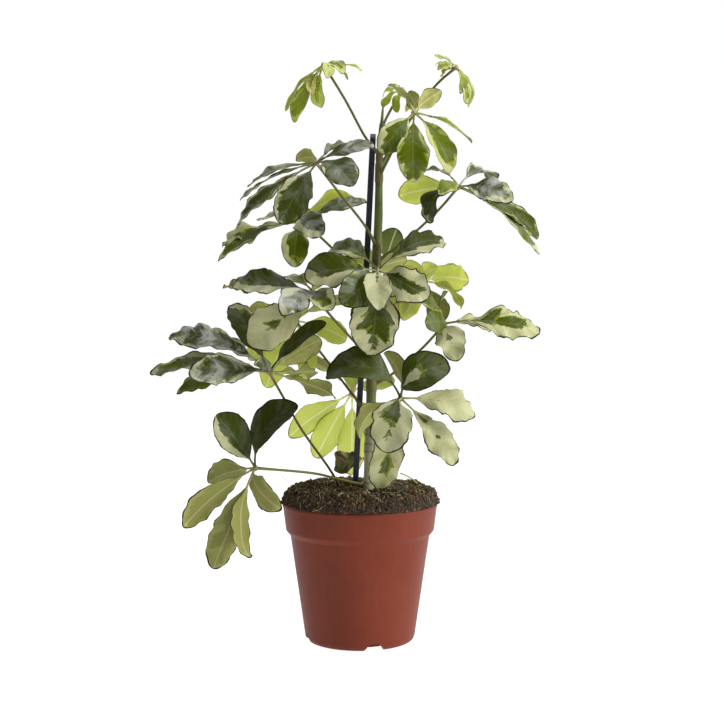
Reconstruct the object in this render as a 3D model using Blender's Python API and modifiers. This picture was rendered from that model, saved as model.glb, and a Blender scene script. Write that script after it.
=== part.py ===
"""Umbrella plant (dwarf schefflera, cream-edged form) in its 13 cm nursery pot.

The plant is built the way it grows. One stem rises from the peat and carries compound
leaves. Each compound leaf is a petiole that ends in a hub, and leaflets hang round the
hub like the ribs of an umbrella. A petiole, its hub and its leaflets are one body.
The stem, the cane and one basal petiole stand in plain holes in the peat.

Lengths in the tables are millimetres and angles are degrees. The scene is in metres.
The origin is the centre of the pot's base. +Z is up, -Y is the front, +X is the right.
"""

import math
import random
from collections import namedtuple

import bmesh
import bpy
from mathutils import Matrix, Vector

MM = 0.001
GAP = 0.3  # between pieces that touch
SHARP_ANGLE = 40.0

# Pot: a thin moulded nursery pot with a deep rim band and a raised gutter under its edge.
POT_HEIGHT = 115.0
RIM_RADIUS = 65.0
LIP_HEIGHT = 2.6
BAND_HEIGHT = 23.0
BAND_TAPER = 2.8
SHOULDER = 3.8
BASE_RADIUS = 45.6
WALL = 1.6
FLOOR = 1.4
GUTTER_HEIGHT = 6.6
GUTTER_INNER = 32.6
FOOT_INNER = 41.6
POT_STEPS = 36
NOTCH_COUNT = 4
NOTCH_TURN = -75.0
NOTCH_HEIGHT = 6.0
NOTCH_FOOT = 21.5
NOTCH_TOP = 8.5
NOTCH_SPARE = 3.0  # by which its cutter passes the foot ring
DRAIN_RADIUS = 3.0

# Peat: fills the pot and stands above the rim as a low dome.
DOME_RADIUS = 66.0
DOME_HEIGHT = 12.5
DOME_POWER = 16
DOME_RINGS = (64.8, 62.4, 57.0, 43.0, 22.0)
CLOD = 0.9

# Cane: a split and dyed bamboo stick that stands behind the stem.
CANE_SIZE = (3.2, 5.0)
CANE_FOOT = (-7.0, 6.0, 66.0)
CANE_TOP = (11.0, 5.0, 423.0)

# Stem: centre line and radius at a few heights.
STEM = (
    ((6.5, -15.0, 62.0), 4.3),
    ((6.9, -14.0, 125.0), 4.3),
    ((9.7, -6.0, 217.0), 4.1),
    ((12.8, -1.0, 290.0), 3.8),
    ((15.5, 0.0, 355.0), 3.5),
    ((16.0, 0.0, 401.0), 2.7),
    ((19.0, 1.0, 444.0), 0.8),
)
STEM_SPACING = 14.0
NODE_SWELLING = 0.5

# Compound leaves.
PETIOLE_RADIUS = 1.1
PETIOLE_BASE_RADIUS = 1.7
HUB_RADIUS = 2.7
STALK_RADIUS = 0.9  # of a leaflet's own stalk
STALK_SHARE = 0.17  # of a leaflet's length
BLADE_EDGE = 0.7  # thickness
BLADE_RIB = 1.0
BLADE_TIP = 0.6
BLADE_STATIONS = (0.22, 0.46, 0.74, 0.92, 1.0)
BLADE_FULLEST = 0.58  # share of its length where a blade is widest
WAVES_PER_BLADE = 1.6

Leaflet = namedtuple("Leaflet", "tip width turn arch wave")
Leaf = namedtuple("Leaf", "name root via hub leaflets")


def leaflet(x, y, z, width, turn=60, arch=6, wave=1.0):
    """A leaflet whose tip is at (x, y, z) from its hub, and whose middle is lifted by arch.

    At turn 0 its upper side faces the front, at 90 it faces up and at 180 the back.
    """
    return Leaflet((x, y, z), width, turn, arch, wave)


# root is a height on the stem, or a point in the peat; via are points that the petiole passes.
LEAVES = (
    Leaf("leaf_top_left", 405, [(4, -4, 420), (-12, 0, 450)], (-30, 5, 480), [
        leaflet(-32, 2, -38, 14, 65, arch=5),
        leaflet(-24, -10, -49, 16, 40, arch=6),
        leaflet(-10, -22, -28, 12, 140),
        leaflet(-4, 12, -34, 15, 30, arch=8),
        leaflet(3, -20, -14, 11, 40),
        leaflet(18, -12, -8, 10, 30, arch=4),
        leaflet(32, 6, -3, 9, 70, arch=3),
        leaflet(20, 18, -9, 10, 80, arch=4),
    ]),
    Leaf("leaf_top_right", 394, [(32, 6, 420), (60, 9, 460)], (80, 10, 479), [
        leaflet(-18, -6, 9, 8, 60, arch=2),
        leaflet(-17, 7, 5, 7, 60, arch=2),
        leaflet(-16, -9, -3, 8, 40, arch=3),
        leaflet(-11, 9, -6, 7, 60, arch=3),
        leaflet(4, -11, -24, 8, 30, arch=6),
        leaflet(9, -4, -31, 9, 30, arch=7),
        leaflet(11, 5, -32, 8, 50, arch=8),
        leaflet(7, 14, -14, 8, arch=4),
    ]),
    Leaf("leaf_youngest", 427, [(24, 5, 440)], (35, 9, 460), [
        leaflet(-17, 3, -4, 7, 60, arch=3),
        leaflet(-16, -4, -16, 8, 40, arch=4),
        leaflet(-5, -7, -20, 8, 30, arch=4),
        leaflet(-10, 8, 5, 7, 60, arch=2),
        leaflet(4, 6, -18, 8, 40, arch=4),
    ]),
    Leaf("leaf_top_front", 387, [(22, -7, 398), (30, -14, 413)], (44, -20, 437), [
        leaflet(-28, -14, -35, 22, 5, arch=7),
        leaflet(-1, -18, -58, 26, 0, arch=8),
        leaflet(30, -10, -50, 21, 30, arch=9),
        leaflet(48, 5, -24, 17, 72, arch=5),
        leaflet(23, 10, 19, 15, 155, arch=4),
        leaflet(-4, 18, 20, 13, 140, arch=4),
        leaflet(-21, 2, 23, 9, 110, arch=4),
    ]),
    Leaf("leaf_upper_front", 328, [(4, -10, 346), (-18, -24, 373)], (-35, -35, 394.5), [
        leaflet(47, -14, 13, 18, 50, arch=5, wave=0.5),
        leaflet(30, 30, 17, 17, 60),
        leaflet(30, -38, -22, 27, 30, arch=8),
        leaflet(-28, -24, -50, 28, 0, arch=8),
        leaflet(-64, 0, -49, 20, 55, arch=6),
        leaflet(-64, 15, -28, 15, 72, arch=5),
        leaflet(-58, 30, -16, 16, 65, arch=5),
        leaflet(-17, 42, 8, 16, 120),
    ]),
    Leaf("leaf_upper_left", 293, [(-5, -4, 310), (-32, -8, 336)], (-48, -10, 349), [
        leaflet(-5, -28, -38, 22, 5, arch=8),
        leaflet(17, -44, -14, 26, 20, arch=10),
        leaflet(43, 26, 22, 21, 130, arch=8),
        leaflet(54, 12, 19, 15, 40, arch=5),
        leaflet(-68, 2, -18, 19, 50, wave=3.5),
        leaflet(-68, -14, -33, 18, 60, arch=8),
        leaflet(-38, 42, 4, 18, 60),
        leaflet(-3, 48, 9, 18, 120),
    ]),
    Leaf("leaf_upper_right", 316, [(40, -3, 336), (64, -4, 358)], (81.5, -5, 378), [
        leaflet(41, -36, -13, 23, 28, arch=6),
        leaflet(31, 32, 8, 24, 55, arch=12),
        leaflet(68, 2, -42, 17, 35, arch=9),
        leaflet(66, -12, -56, 14, 60, arch=8),
        leaflet(-26, 20, 16, 14, 75),
        leaflet(-49, 24, -5, 25, 155, arch=5),
        leaflet(-24, -14, -31, 22, 60, arch=12),
        leaflet(-18, -34, -8, 14, 30),
    ]),
    Leaf("leaf_middle_front", 329, [(17, -18, 327), (16, -34, 319)], (14.5, -45, 308), [
        leaflet(55, 14, 25, 25, 35, arch=13),
        leaflet(-40, 26, 18, 22, 35, arch=13),
        leaflet(-59, -10, -5, 29, 20, arch=9),
        leaflet(-29, -34, -27, 30, 0, arch=8),
        leaflet(0, -42, -32, 21, 0, arch=9),
        leaflet(-6, -24, -67, 39, 0, arch=7),
        leaflet(39, -28, -22, 30, 10, arch=9, wave=2.5),
        leaflet(24, 36, 10, 18, 150),
    ]),
    Leaf("leaf_middle_back", 280, [(17, 22, 290), (21, 44, 306)], (23, 58, 316), [
        leaflet(10, 24, 33, 26, 165),
        leaflet(-36, 22, 5, 22, 150),
        leaflet(-26, 18, -34, 22, 160),
        leaflet(6, 24, -46, 24, 170),
        leaflet(36, 26, -16, 22, 150),
    ]),
    Leaf("leaf_middle_left", 230, [(-1, -12, 246), (-24, -28, 272)], (-37, -40, 290), [
        leaflet(-66, 4, 6, 27, 45, arch=6),
        leaflet(-76, 22, 6, 15, 60, arch=3, wave=3.0),
        leaflet(-52, -14, -42, 33, 5, arch=9),
        leaflet(-23, -44, -17, 24, 25, arch=8),
        leaflet(15, -42, -13, 20, 20),
        leaflet(-32, 44, 12, 18, 60),
        leaflet(10, 40, 12, 18, 110),
    ]),
    Leaf("leaf_right_back", 270, [(28, 12, 280), (44, 24, 292)], (54, 30, 301), [
        leaflet(41, 20, 1, 24, 165, arch=3, wave=4.0),
        leaflet(14, 34, 13, 18, 140),
        leaflet(34, -10, -23, 13, 120, wave=2.5),
        leaflet(15, -6, -38, 22, 150),
        leaflet(-16, 24, -34, 20, 165),
    ]),
    Leaf("leaf_middle_right", 213, [(28, -6, 224), (52, -9, 245)], (70, -10, 265), [
        leaflet(79, -6, -7, 26, 30, arch=13, wave=4.0),
        leaflet(8, -38, -29, 24, 0, arch=9, wave=2.0),
        leaflet(-18, -36, 2, 21, 15),
        leaflet(-26, -6, 20, 18, 60),
        leaflet(4, 20, 26, 14, 80),
        leaflet(40, 34, -6, 20, 60),
    ]),
    Leaf("leaf_left_back", 187, [(-2, -2, 200), (-30, 14, 236)], (-55, 25, 267), [
        leaflet(-26, 8, -58, 24, 165, arch=5),
        leaflet(-42, 20, -34, 22, 150),
        leaflet(46, 12, 18, 20, 120),
        leaflet(44, 4, -16, 22, 160),
        leaflet(7, 46, 13, 20, 130),
        leaflet(-44, 32, 8, 18, 130),
        leaflet(8, 22, -52, 20, 160),
    ]),
    Leaf("leaf_lower_left", (-15, -2, 96), [
        (-18, -3, 130), (-48, -8, 176), (-63, -11, 203),
    ], (-75, -15, 225), [
        leaflet(-84, 10, 29, 26, 40, arch=17, wave=2.0),
        leaflet(-99, 2, -1, 19, 45, arch=13, wave=2.0),
        leaflet(-62, -34, 0, 26, 25, arch=8),
        leaflet(-76, -12, -16, 18, 50, arch=8, wave=2.0),
        leaflet(-33, 16, 56, 26, 30),
        leaflet(48, -26, 41, 17, 45, arch=5),
        leaflet(43, 8, 27, 26, 160, arch=4),
        leaflet(40, -36, 3, 15, 130, arch=2, wave=3.5),
        leaflet(57, -16, -19, 14, 150, arch=4, wave=3.5),
        leaflet(-9, -38, 8, 13, 60),
    ]),
    Leaf("leaf_lower_front", 176, [(18, -24, 190), (27, -42, 200)], (32.5, -50, 206), [
        leaflet(-61, -6, 20, 35, 45, arch=25),
        leaflet(38, -20, 28, 34, 38, arch=16),
        leaflet(60, 0, -13, 24, 20, arch=9, wave=3.0),
        leaflet(45, -4, -53, 21, 10, arch=5, wave=3.5),
        leaflet(-13, -36, -40, 33, 10, arch=15),
        leaflet(-18, 8, -75, 26, 0, arch=2, wave=2.0),
        leaflet(-34, -14, -31, 20, 140, arch=10),
        leaflet(-12, 24, 36, 20, 120),
    ]),
    Leaf("leaf_lower_back", 162, [(6, 14, 178), (-2, 34, 196)], (-7, 45, 204), [
        leaflet(-56, 6, -39, 24, 160, arch=5),
        leaflet(-32, 6, -58, 25, 170, arch=5),
        leaflet(-1, 6, -73, 26, 175, arch=5),
        leaflet(-54, 10, 31, 22, 120, arch=8),
        leaflet(-8, 44, 16, 18, 140),
        leaflet(38, 24, 8, 22, 140),
        leaflet(32, 14, -48, 22, 160),
    ]),
    Leaf("leaf_lowest_left", 130, [(-17, -14, 136), (-40, -19, 142)], (-85.5, -30, 147.5), [
        leaflet(-30, -14, 45, 30, 30, arch=6),
        leaflet(35, -10, 53, 34, 48, arch=14),
        leaflet(-42, 34, -15, 24, 150, arch=3),
        leaflet(-59, -4, -48, 25, 150, arch=7),
        leaflet(-34, -10, -81, 27, 160, arch=4),
        leaflet(-4, -26, -70, 22, 130, arch=13),
        leaflet(24, -40, -28, 22, 150, arch=-11),
    ]),
)

PLASTIC = ("pot_plastic", (0.30, 0.075, 0.045), 0.5)
PEAT = ("peat", (0.035, 0.020, 0.012), 0.95)
CANE = ("dyed_cane", (0.010, 0.018, 0.030), 0.55)
BARK = ("green_stem", (0.16, 0.19, 0.06), 0.5)
LEAF = ("leaf_green", (0.16, 0.22, 0.07), 0.4)


def empty_scene():
    for thing in list(bpy.data.objects):
        bpy.data.objects.remove(thing)


def new_collection(name):
    made = bpy.data.collections.new(name)
    bpy.context.scene.collection.children.link(made)
    return made


def material(name, colour, roughness):
    made = bpy.data.materials.get(name)
    if made:
        return made
    made = bpy.data.materials.new(name)
    made.use_nodes = True
    shader = made.node_tree.nodes["Principled BSDF"]
    shader.inputs["Base Color"].default_value = (*colour, 1.0)
    shader.inputs["Roughness"].default_value = roughness
    shader.inputs["Metallic"].default_value = 0.0
    return made


def mesh_object(name, bm, collection, look=None):
    """A new object from bm, whose faces are first turned outwards."""
    bmesh.ops.recalc_face_normals(bm, faces=bm.faces)
    mesh = bpy.data.meshes.new(name)
    bm.to_mesh(mesh)
    bm.free()
    made = bpy.data.objects.new(name, mesh)
    collection.objects.link(made)
    if look:
        mesh.materials.append(material(*look))
    return made


def evaluated_mesh(thing):
    bpy.context.view_layer.update()
    graph = bpy.context.evaluated_depsgraph_get()
    return bpy.data.meshes.new_from_object(thing.evaluated_get(graph))


def finish(thing):
    """Applies the modifiers, and shades round places smooth."""
    thing.data = evaluated_mesh(thing)
    thing.modifiers.clear()
    thing.data.shade_smooth()
    thing.data.set_sharp_from_angle(angle=math.radians(SHARP_ANGLE))
    return thing


def boolean(target, operation, operand):
    """Adds a Boolean of target with one object, or with every object of a collection."""
    cut = target.modifiers.new(operation.lower(), "BOOLEAN")
    cut.operation = operation
    cut.solver = "EXACT"
    if isinstance(operand, bpy.types.Collection):
        cut.operand_type = "COLLECTION"
        cut.collection = operand
    else:
        cut.object = operand


def as_cutter(thing):
    thing.hide_render = True
    thing.display_type = "WIRE"
    return thing


def between(first, second, share):
    return first + (second - first) * share


def smooth_line(points, steps):
    """Points along a Catmull-Rom curve through the given points."""
    points = [Vector(p) for p in points]
    line = [points[0] * 2 - points[1], *points, points[-1] * 2 - points[-2]]
    found = []
    for a, b, c, d in zip(line, line[1:], line[2:], line[3:]):
        for step in range(steps):
            t = step / steps
            found.append(
                (b * 2 + (c - a) * t + (a * 2 - b * 5 + c * 4 - d) * t**2
                 + (b * 3 - a - c * 3 + d) * t**3) / 2
            )
    return [*found, points[-1]]


def tube(name, points, radii, collection, rounding, look=None):
    """A closed round tube as a mesh, along points in millimetres."""
    curve = bpy.data.curves.new(name, "CURVE")
    curve.dimensions = "3D"
    curve.bevel_depth = MM
    curve.bevel_resolution = rounding
    curve.use_fill_caps = True
    spline = curve.splines.new("POLY")
    spline.points.add(len(points) - 1)
    for knot, point, radius in zip(spline.points, points, radii):
        knot.co = (*(Vector(point) * MM), 1.0)
        knot.radius = radius
    guide = bpy.data.objects.new(name, curve)
    collection.objects.link(guide)
    mesh = evaluated_mesh(guide)
    bpy.data.objects.remove(guide)
    bm = bmesh.new()
    bm.from_mesh(mesh)
    bmesh.ops.remove_doubles(bm, verts=bm.verts, dist=0.01 * MM)
    return mesh_object(name, bm, collection, look)


def turned(name, profile, collection, look):
    """A solid of revolution. The profile runs up its inside and down its outside."""
    bm = bmesh.new()
    verts = [bm.verts.new((radius * MM, 0, height * MM)) for radius, height in profile]
    for first, second in zip(verts, verts[1:]):
        bm.edges.new((first, second))
    made = mesh_object(name, bm, collection, look)
    screw = made.modifiers.new("turn", "SCREW")
    screw.steps = POT_STEPS
    screw.render_steps = POT_STEPS
    screw.use_merge_vertices = True
    screw.merge_threshold = 0.01 * MM
    return made


def inner_wall(height):
    """Radius of the pot's inner face at a height under the band."""
    shoulder = POT_HEIGHT - BAND_HEIGHT - SHOULDER
    top = RIM_RADIUS - BAND_TAPER - SHOULDER
    return between(BASE_RADIUS, top, height / shoulder) - WALL


def make_pot(parts, cutters):
    shoulder = POT_HEIGHT - BAND_HEIGHT - SHOULDER
    band_foot = POT_HEIGHT - BAND_HEIGHT
    band_radius = RIM_RADIUS - BAND_TAPER
    body_radius = band_radius - SHOULDER
    inside = GUTTER_HEIGHT + FLOOR
    profile = (
        (0, FLOOR),
        (GUTTER_INNER - 1.0 - FLOOR, FLOOR),
        (GUTTER_INNER - FLOOR, inside),
        (inner_wall(inside), inside),
        (inner_wall(shoulder + 0.6), shoulder + 0.6),
        (band_radius - WALL, band_foot + 0.6),
        (RIM_RADIUS - WALL, POT_HEIGHT - 0.4),
        (RIM_RADIUS - WALL + 0.4, POT_HEIGHT),
        (RIM_RADIUS - 0.3, POT_HEIGHT),
        (RIM_RADIUS, POT_HEIGHT - 0.5),
        (RIM_RADIUS, POT_HEIGHT - LIP_HEIGHT),
        (RIM_RADIUS - 0.5, POT_HEIGHT - LIP_HEIGHT - 0.4),
        (band_radius, band_foot + 1.0),
        (band_radius - 0.6, band_foot),
        (body_radius, shoulder),
        (BASE_RADIUS + 0.6, 4.0),
        (BASE_RADIUS - 0.4, 1.3),
        (BASE_RADIUS - 2.0, 0),
        (FOOT_INNER, 0),
        (FOOT_INNER - 0.6, GUTTER_HEIGHT),
        (GUTTER_INNER + 0.6, GUTTER_HEIGHT),
        (GUTTER_INNER, 0),
        (0, 0),
    )
    pot = turned("pot", profile, parts, PLASTIC)
    for number in range(NOTCH_COUNT):
        turn = math.radians(NOTCH_TURN + number * 360 / NOTCH_COUNT)
        boolean(pot, "DIFFERENCE", notch_cutter(number, turn, cutters))
        boolean(pot, "DIFFERENCE", drain_cutter(number, turn, cutters))
    finish(pot)


def notch_cutter(number, turn, cutters):
    """A wedge that cuts the foot ring, wide at the foot and narrow on top."""
    bm = bmesh.new()
    bmesh.ops.create_cube(bm, size=1.0)
    reach = BASE_RADIUS - FOOT_INNER + 2 * NOTCH_SPARE
    middle = (BASE_RADIUS + FOOT_INNER) / 2
    for vert in bm.verts:
        wide = NOTCH_TOP if vert.co.z > 0 else NOTCH_FOOT
        high = NOTCH_HEIGHT if vert.co.z > 0 else -NOTCH_SPARE
        vert.co = Vector((middle + vert.co.x * reach, vert.co.y * wide, high)) * MM
    bmesh.ops.rotate(bm, verts=bm.verts, matrix=Matrix.Rotation(turn, 3, "Z"))
    return as_cutter(mesh_object(f"notch_cutter_{number}", bm, cutters))


def drain_cutter(number, turn, cutters):
    bm = bmesh.new()
    bmesh.ops.create_cone(
        bm, cap_ends=True, segments=12, depth=6 * MM, radius1=DRAIN_RADIUS * MM, radius2=DRAIN_RADIUS * MM
    )
    out = (GUTTER_INNER + FOOT_INNER) / 2
    place = Vector((out * math.cos(turn), out * math.sin(turn), GUTTER_HEIGHT + FLOOR / 2)) * MM
    bmesh.ops.translate(bm, verts=bm.verts, vec=place)
    return as_cutter(mesh_object(f"drain_cutter_{number}", bm, cutters))


def dome(x, y):
    """Height of the peat's surface, with its clods."""
    share = min(math.hypot(x, y) / DOME_RADIUS, 1.0)
    clods = math.sin(x * 0.31 + 1.0) * math.cos(y * 0.27) + math.sin(x * 0.12 - y * 0.17)
    return POT_HEIGHT + GAP + (DOME_HEIGHT + CLOD * clods) * (1 - share**DOME_POWER)


def make_soil(parts, holes):
    shoulder = POT_HEIGHT - BAND_HEIGHT - SHOULDER
    band_foot = POT_HEIGHT - BAND_HEIGHT
    inside = GUTTER_HEIGHT + FLOOR + GAP
    rings = [(radius, POT_HEIGHT + GAP + 1.0) for radius in reversed(DOME_RINGS)]
    profile = (
        (0, POT_HEIGHT + GAP + 1.0),
        *rings,
        (DOME_RADIUS, POT_HEIGHT + GAP + 0.8),
        (DOME_RADIUS, POT_HEIGHT + GAP),
        (RIM_RADIUS - WALL - GAP, POT_HEIGHT + GAP),
        (RIM_RADIUS - WALL - GAP, POT_HEIGHT - 0.4),
        (RIM_RADIUS - BAND_TAPER - WALL - GAP, band_foot + 0.6),
        (inner_wall(shoulder + 0.6) - GAP, shoulder + 0.9),
        (inner_wall(inside) - GAP, inside),
        (GUTTER_INNER - FLOOR - GAP, inside),
        (GUTTER_INNER - 1.0 - FLOOR - GAP, FLOOR + GAP),
        (0, FLOOR + GAP),
    )
    guide = turned("peat_guide", profile, parts, PEAT)
    mesh = evaluated_mesh(guide)
    bpy.data.objects.remove(guide)
    bm = bmesh.new()
    bm.from_mesh(mesh)
    for vert in bm.verts:
        x, y, z = vert.co / MM
        if z > POT_HEIGHT + GAP + 0.5:
            vert.co.z = max(dome(x, y), POT_HEIGHT + GAP + 0.8) * MM
    soil = mesh_object("soil", bm, parts, PEAT)
    for hole in holes:
        boolean(soil, "DIFFERENCE", hole)
    finish(soil)


def make_cane(name, grown, collection, look=None):
    """The cane, or with grown above 0 the hole that it stands in."""
    foot = Vector(CANE_FOOT)
    run = Vector(CANE_TOP) - foot
    bm = bmesh.new()
    bmesh.ops.create_cube(bm, size=1.0)
    size = (CANE_SIZE[0] + 2 * grown, CANE_SIZE[1] + 2 * grown, run.length + 2 * grown)
    bmesh.ops.scale(bm, verts=bm.verts, vec=Vector(size) * MM)
    bmesh.ops.rotate(bm, verts=bm.verts, matrix=run.to_track_quat("Z", "Y").to_matrix())
    bmesh.ops.translate(bm, verts=bm.verts, vec=(foot + run / 2) * MM)
    return mesh_object(name, bm, collection, look)


def stem_at(height):
    """(centre, radius) of the stem at a height."""
    for (low, low_radius), (high, high_radius) in zip(STEM, STEM[1:]):
        if height <= high[2]:
            break
    share = (height - low[2]) / (high[2] - low[2])
    return between(Vector(low), Vector(high), share), between(low_radius, high_radius, share)


def make_stem(name, grown, collection, look=None):
    """The stem, or with grown above 0 the room that it needs."""
    low = STEM[0][0][2] - grown
    high = STEM[-1][0][2] + grown
    count = round((high - low) / STEM_SPACING)
    nodes = [leaf.root for leaf in LEAVES if not isinstance(leaf.root, tuple)]
    points = []
    radii = []
    for step in range(count + 1):
        height = between(low, high, step / count)
        centre, radius = stem_at(height)
        near = min(abs(height - node) for node in nodes) / STEM_SPACING
        points.append(centre)
        radii.append(radius + NODE_SWELLING * max(0.0, 1 - near) + grown)
    return tube(name, points, radii, collection, 2, look)


def petiole_line(leaf):
    root = Vector(leaf.root) if isinstance(leaf.root, tuple) else stem_at(leaf.root)[0]
    return smooth_line([root, *leaf.via, leaf.hub], 3)


def make_petiole(name, leaf, grown, collection):
    points = petiole_line(leaf)
    radii = [PETIOLE_RADIUS + grown] * len(points)
    if not isinstance(leaf.root, tuple):
        radii[0] = PETIOLE_BASE_RADIUS
        radii[1] = PETIOLE_BASE_RADIUS
    return tube(name, points, radii, collection, 1, LEAF)


def blade_half_width(share, width):
    """Half the width at a share of the blade's length: wedge-shaped foot, rounded end."""
    if share < BLADE_FULLEST:
        swell = math.sin(math.pi / 2 * share / BLADE_FULLEST) ** 1.1
    else:
        swell = math.sqrt(1 - ((share - BLADE_FULLEST) / (1 - BLADE_FULLEST)) ** 2)
    return max(swell * width / 2, BLADE_TIP)


def upper_side(chord, turn):
    """The direction that a leaflet's upper side faces, square to its chord."""
    along = chord.normalized()
    front = Vector((0, -1, 0)) + along * along.y
    front.normalize()
    side = along.cross(front)
    if side.z < 0:
        side.negate()
    turn = math.radians(turn)
    return front * math.cos(turn) + side * math.sin(turn)


def make_leaflet(name, leaf, spec, draw, collection):
    """One leaflet: a loft of six-sided sections from the hub to the tip."""
    chord = Vector(spec.tip)
    up = upper_side(chord, spec.turn)
    crest = chord / 2 + up * spec.arch * 2
    phase = draw.uniform(0, math.tau)
    lift = math.tan(math.radians(draw.uniform(4, 16)))
    stations = [0.02, STALK_SHARE]
    stations += [STALK_SHARE + (1 - STALK_SHARE) * share for share in BLADE_STATIONS]
    bm = bmesh.new()
    rings = []
    for station in stations:
        centre = crest * 2 * station * (1 - station) + chord * station**2
        tangent = (crest * (1 - 2 * station) + chord * station).normalized()
        normal = (up - tangent * up.dot(tangent)).normalized()
        side = tangent.cross(normal)
        share = (station - STALK_SHARE) / (1 - STALK_SHARE)
        if share <= 0:
            half, rib, edge, left, right = STALK_RADIUS, STALK_RADIUS, STALK_RADIUS / 2, 0, 0
        else:
            half = blade_half_width(share, spec.width)
            rib, edge = BLADE_RIB / 2, BLADE_EDGE / 2
            turn = math.tau * WAVES_PER_BLADE * share + phase
            grip = min(1.0, half / (spec.width / 4))
            left = half * lift + spec.wave * grip * math.sin(turn)
            right = half * lift + spec.wave * grip * math.cos(turn)
        offsets = (
            (-half, left + edge), (0, rib), (half, right + edge),
            (half, right - edge), (0, -rib), (-half, left - edge),
        )
        hub = Vector(leaf.hub)
        rings.append([
            bm.verts.new((hub + centre + side * across + normal * rise) * MM)
            for across, rise in offsets
        ])
    bm.faces.new(reversed(rings[0]))
    bm.faces.new(rings[-1])
    for low, high in zip(rings, rings[1:]):
        for first, second, diagonal in ((0, 1, 1), (1, 2, 2), (2, 3, 3), (3, 4, 3), (4, 5, 4), (5, 0, 0)):
            skin_quad(bm, low, high, first, second, diagonal)
    return mesh_object(name, bm, collection, LEAF)


def skin_quad(bm, low, high, first, second, diagonal):
    """Two triangles between two sections. diagonal is the corner whose far end is joined across."""
    if diagonal == second:
        bm.faces.new((low[first], low[second], high[second]))
        bm.faces.new((low[first], high[second], high[first]))
    else:
        bm.faces.new((low[first], low[second], high[first]))
        bm.faces.new((low[second], high[second], high[first]))


def make_leaf(leaf, parts, stem_room):
    """Petiole, hub and leaflets, joined into one body and cut clear of the stem."""
    pieces = new_collection(leaf.name + "_pieces")
    draw = random.Random(leaf.name)
    for number, spec in enumerate(leaf.leaflets):
        make_leaflet(f"{leaf.name}_{number}", leaf, spec, draw, pieces)
    bm = bmesh.new()
    bmesh.ops.create_icosphere(bm, subdivisions=1, radius=HUB_RADIUS * MM)
    bmesh.ops.translate(bm, verts=bm.verts, vec=Vector(leaf.hub) * MM)
    mesh_object(leaf.name + "_hub", bm, pieces, LEAF)
    body = make_petiole(leaf.name, leaf, 0, parts)
    boolean(body, "UNION", pieces)
    if not isinstance(leaf.root, tuple):
        boolean(body, "DIFFERENCE", stem_room)
    finish(body)
    for piece in list(pieces.objects):
        bpy.data.objects.remove(piece)
    bpy.data.collections.remove(pieces)


def main():
    empty_scene()
    parts = new_collection("potted_umbrella_plant")
    cutters = new_collection("cutters")
    stem_room = as_cutter(make_stem("stem_room", GAP, cutters))
    holes = [stem_room, as_cutter(make_cane("cane_hole", GAP, cutters))]
    for leaf in LEAVES:
        make_leaf(leaf, parts, stem_room)
        if isinstance(leaf.root, tuple):
            hole = make_petiole(leaf.name + "_hole", leaf, GAP, cutters)
            holes.append(as_cutter(hole))
    make_pot(parts, cutters)
    make_soil(parts, holes)
    make_cane("cane", 0, parts, CANE)
    finish(make_stem("stem", 0, parts, BARK))


main()
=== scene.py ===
"""The looks of the umbrella plant in its nursery pot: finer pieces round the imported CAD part.

Every CAD node is replaced by a piece of the same form. The leaves get veins, waves, curled
edges and cream variegation. The peat gets crumbs, fibres and moss, and the pot rounder edges.
Lengths in the tables are millimetres and angles are degrees, as in the part's source.
"""

import math
import random
from collections import namedtuple

import bmesh
import bpy
from mathutils import Matrix, Vector, noise


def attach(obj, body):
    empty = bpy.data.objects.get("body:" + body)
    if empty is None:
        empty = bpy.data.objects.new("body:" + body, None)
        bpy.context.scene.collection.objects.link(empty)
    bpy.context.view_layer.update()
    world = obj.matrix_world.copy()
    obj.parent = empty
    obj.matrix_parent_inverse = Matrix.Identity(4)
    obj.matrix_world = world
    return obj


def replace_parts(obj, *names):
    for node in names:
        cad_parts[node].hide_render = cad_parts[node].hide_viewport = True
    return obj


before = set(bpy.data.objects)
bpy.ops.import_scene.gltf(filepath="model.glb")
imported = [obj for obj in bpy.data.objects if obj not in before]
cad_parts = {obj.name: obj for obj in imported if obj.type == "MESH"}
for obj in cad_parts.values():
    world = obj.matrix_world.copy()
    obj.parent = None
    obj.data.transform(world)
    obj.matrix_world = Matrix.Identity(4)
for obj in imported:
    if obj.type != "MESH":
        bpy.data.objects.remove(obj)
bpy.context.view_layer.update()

MM = 0.001

# Pot, as in the part's source.
POT_HEIGHT = 115.0
RIM_RADIUS = 65.0
LIP_HEIGHT = 2.6
BAND_HEIGHT = 23.0
BAND_TAPER = 2.8
SHOULDER = 3.8
BASE_RADIUS = 45.6
WALL = 1.6
FLOOR = 1.4
GUTTER_HEIGHT = 6.6
GUTTER_INNER = 32.6
FOOT_INNER = 41.6
NOTCH_COUNT = 4
NOTCH_TURN = -75.0
NOTCH_HEIGHT = 6.0
NOTCH_FOOT = 21.5
NOTCH_TOP = 8.5
NOTCH_SPARE = 3.0  # by which its cutter passes the foot ring
DRAIN_RADIUS = 3.0
POT_STEPS = 180
CORNER_RADIUS = 0.5

# Peat.
GAP = 0.3
DOME_RADIUS = 66.0
DOME_HEIGHT = 12.5
DOME_POWER = 16
CLOD = 0.9  # height of the broad clods
ROUGHNESS = 1.0  # this and the next two are amounts of relief
CREASES = 2.4
FINE_LUMPS = 0.45
PEAT_RINGS = 90
PEAT_SPOKES = 260
CRUMBS = 5200
CLODS = 110
RIM_CRUMBS = 950
FIBRES = 3000
FIBRE_STEPS = 6
MOSSES = 2200
MOSS_LEAVES = 4

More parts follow.
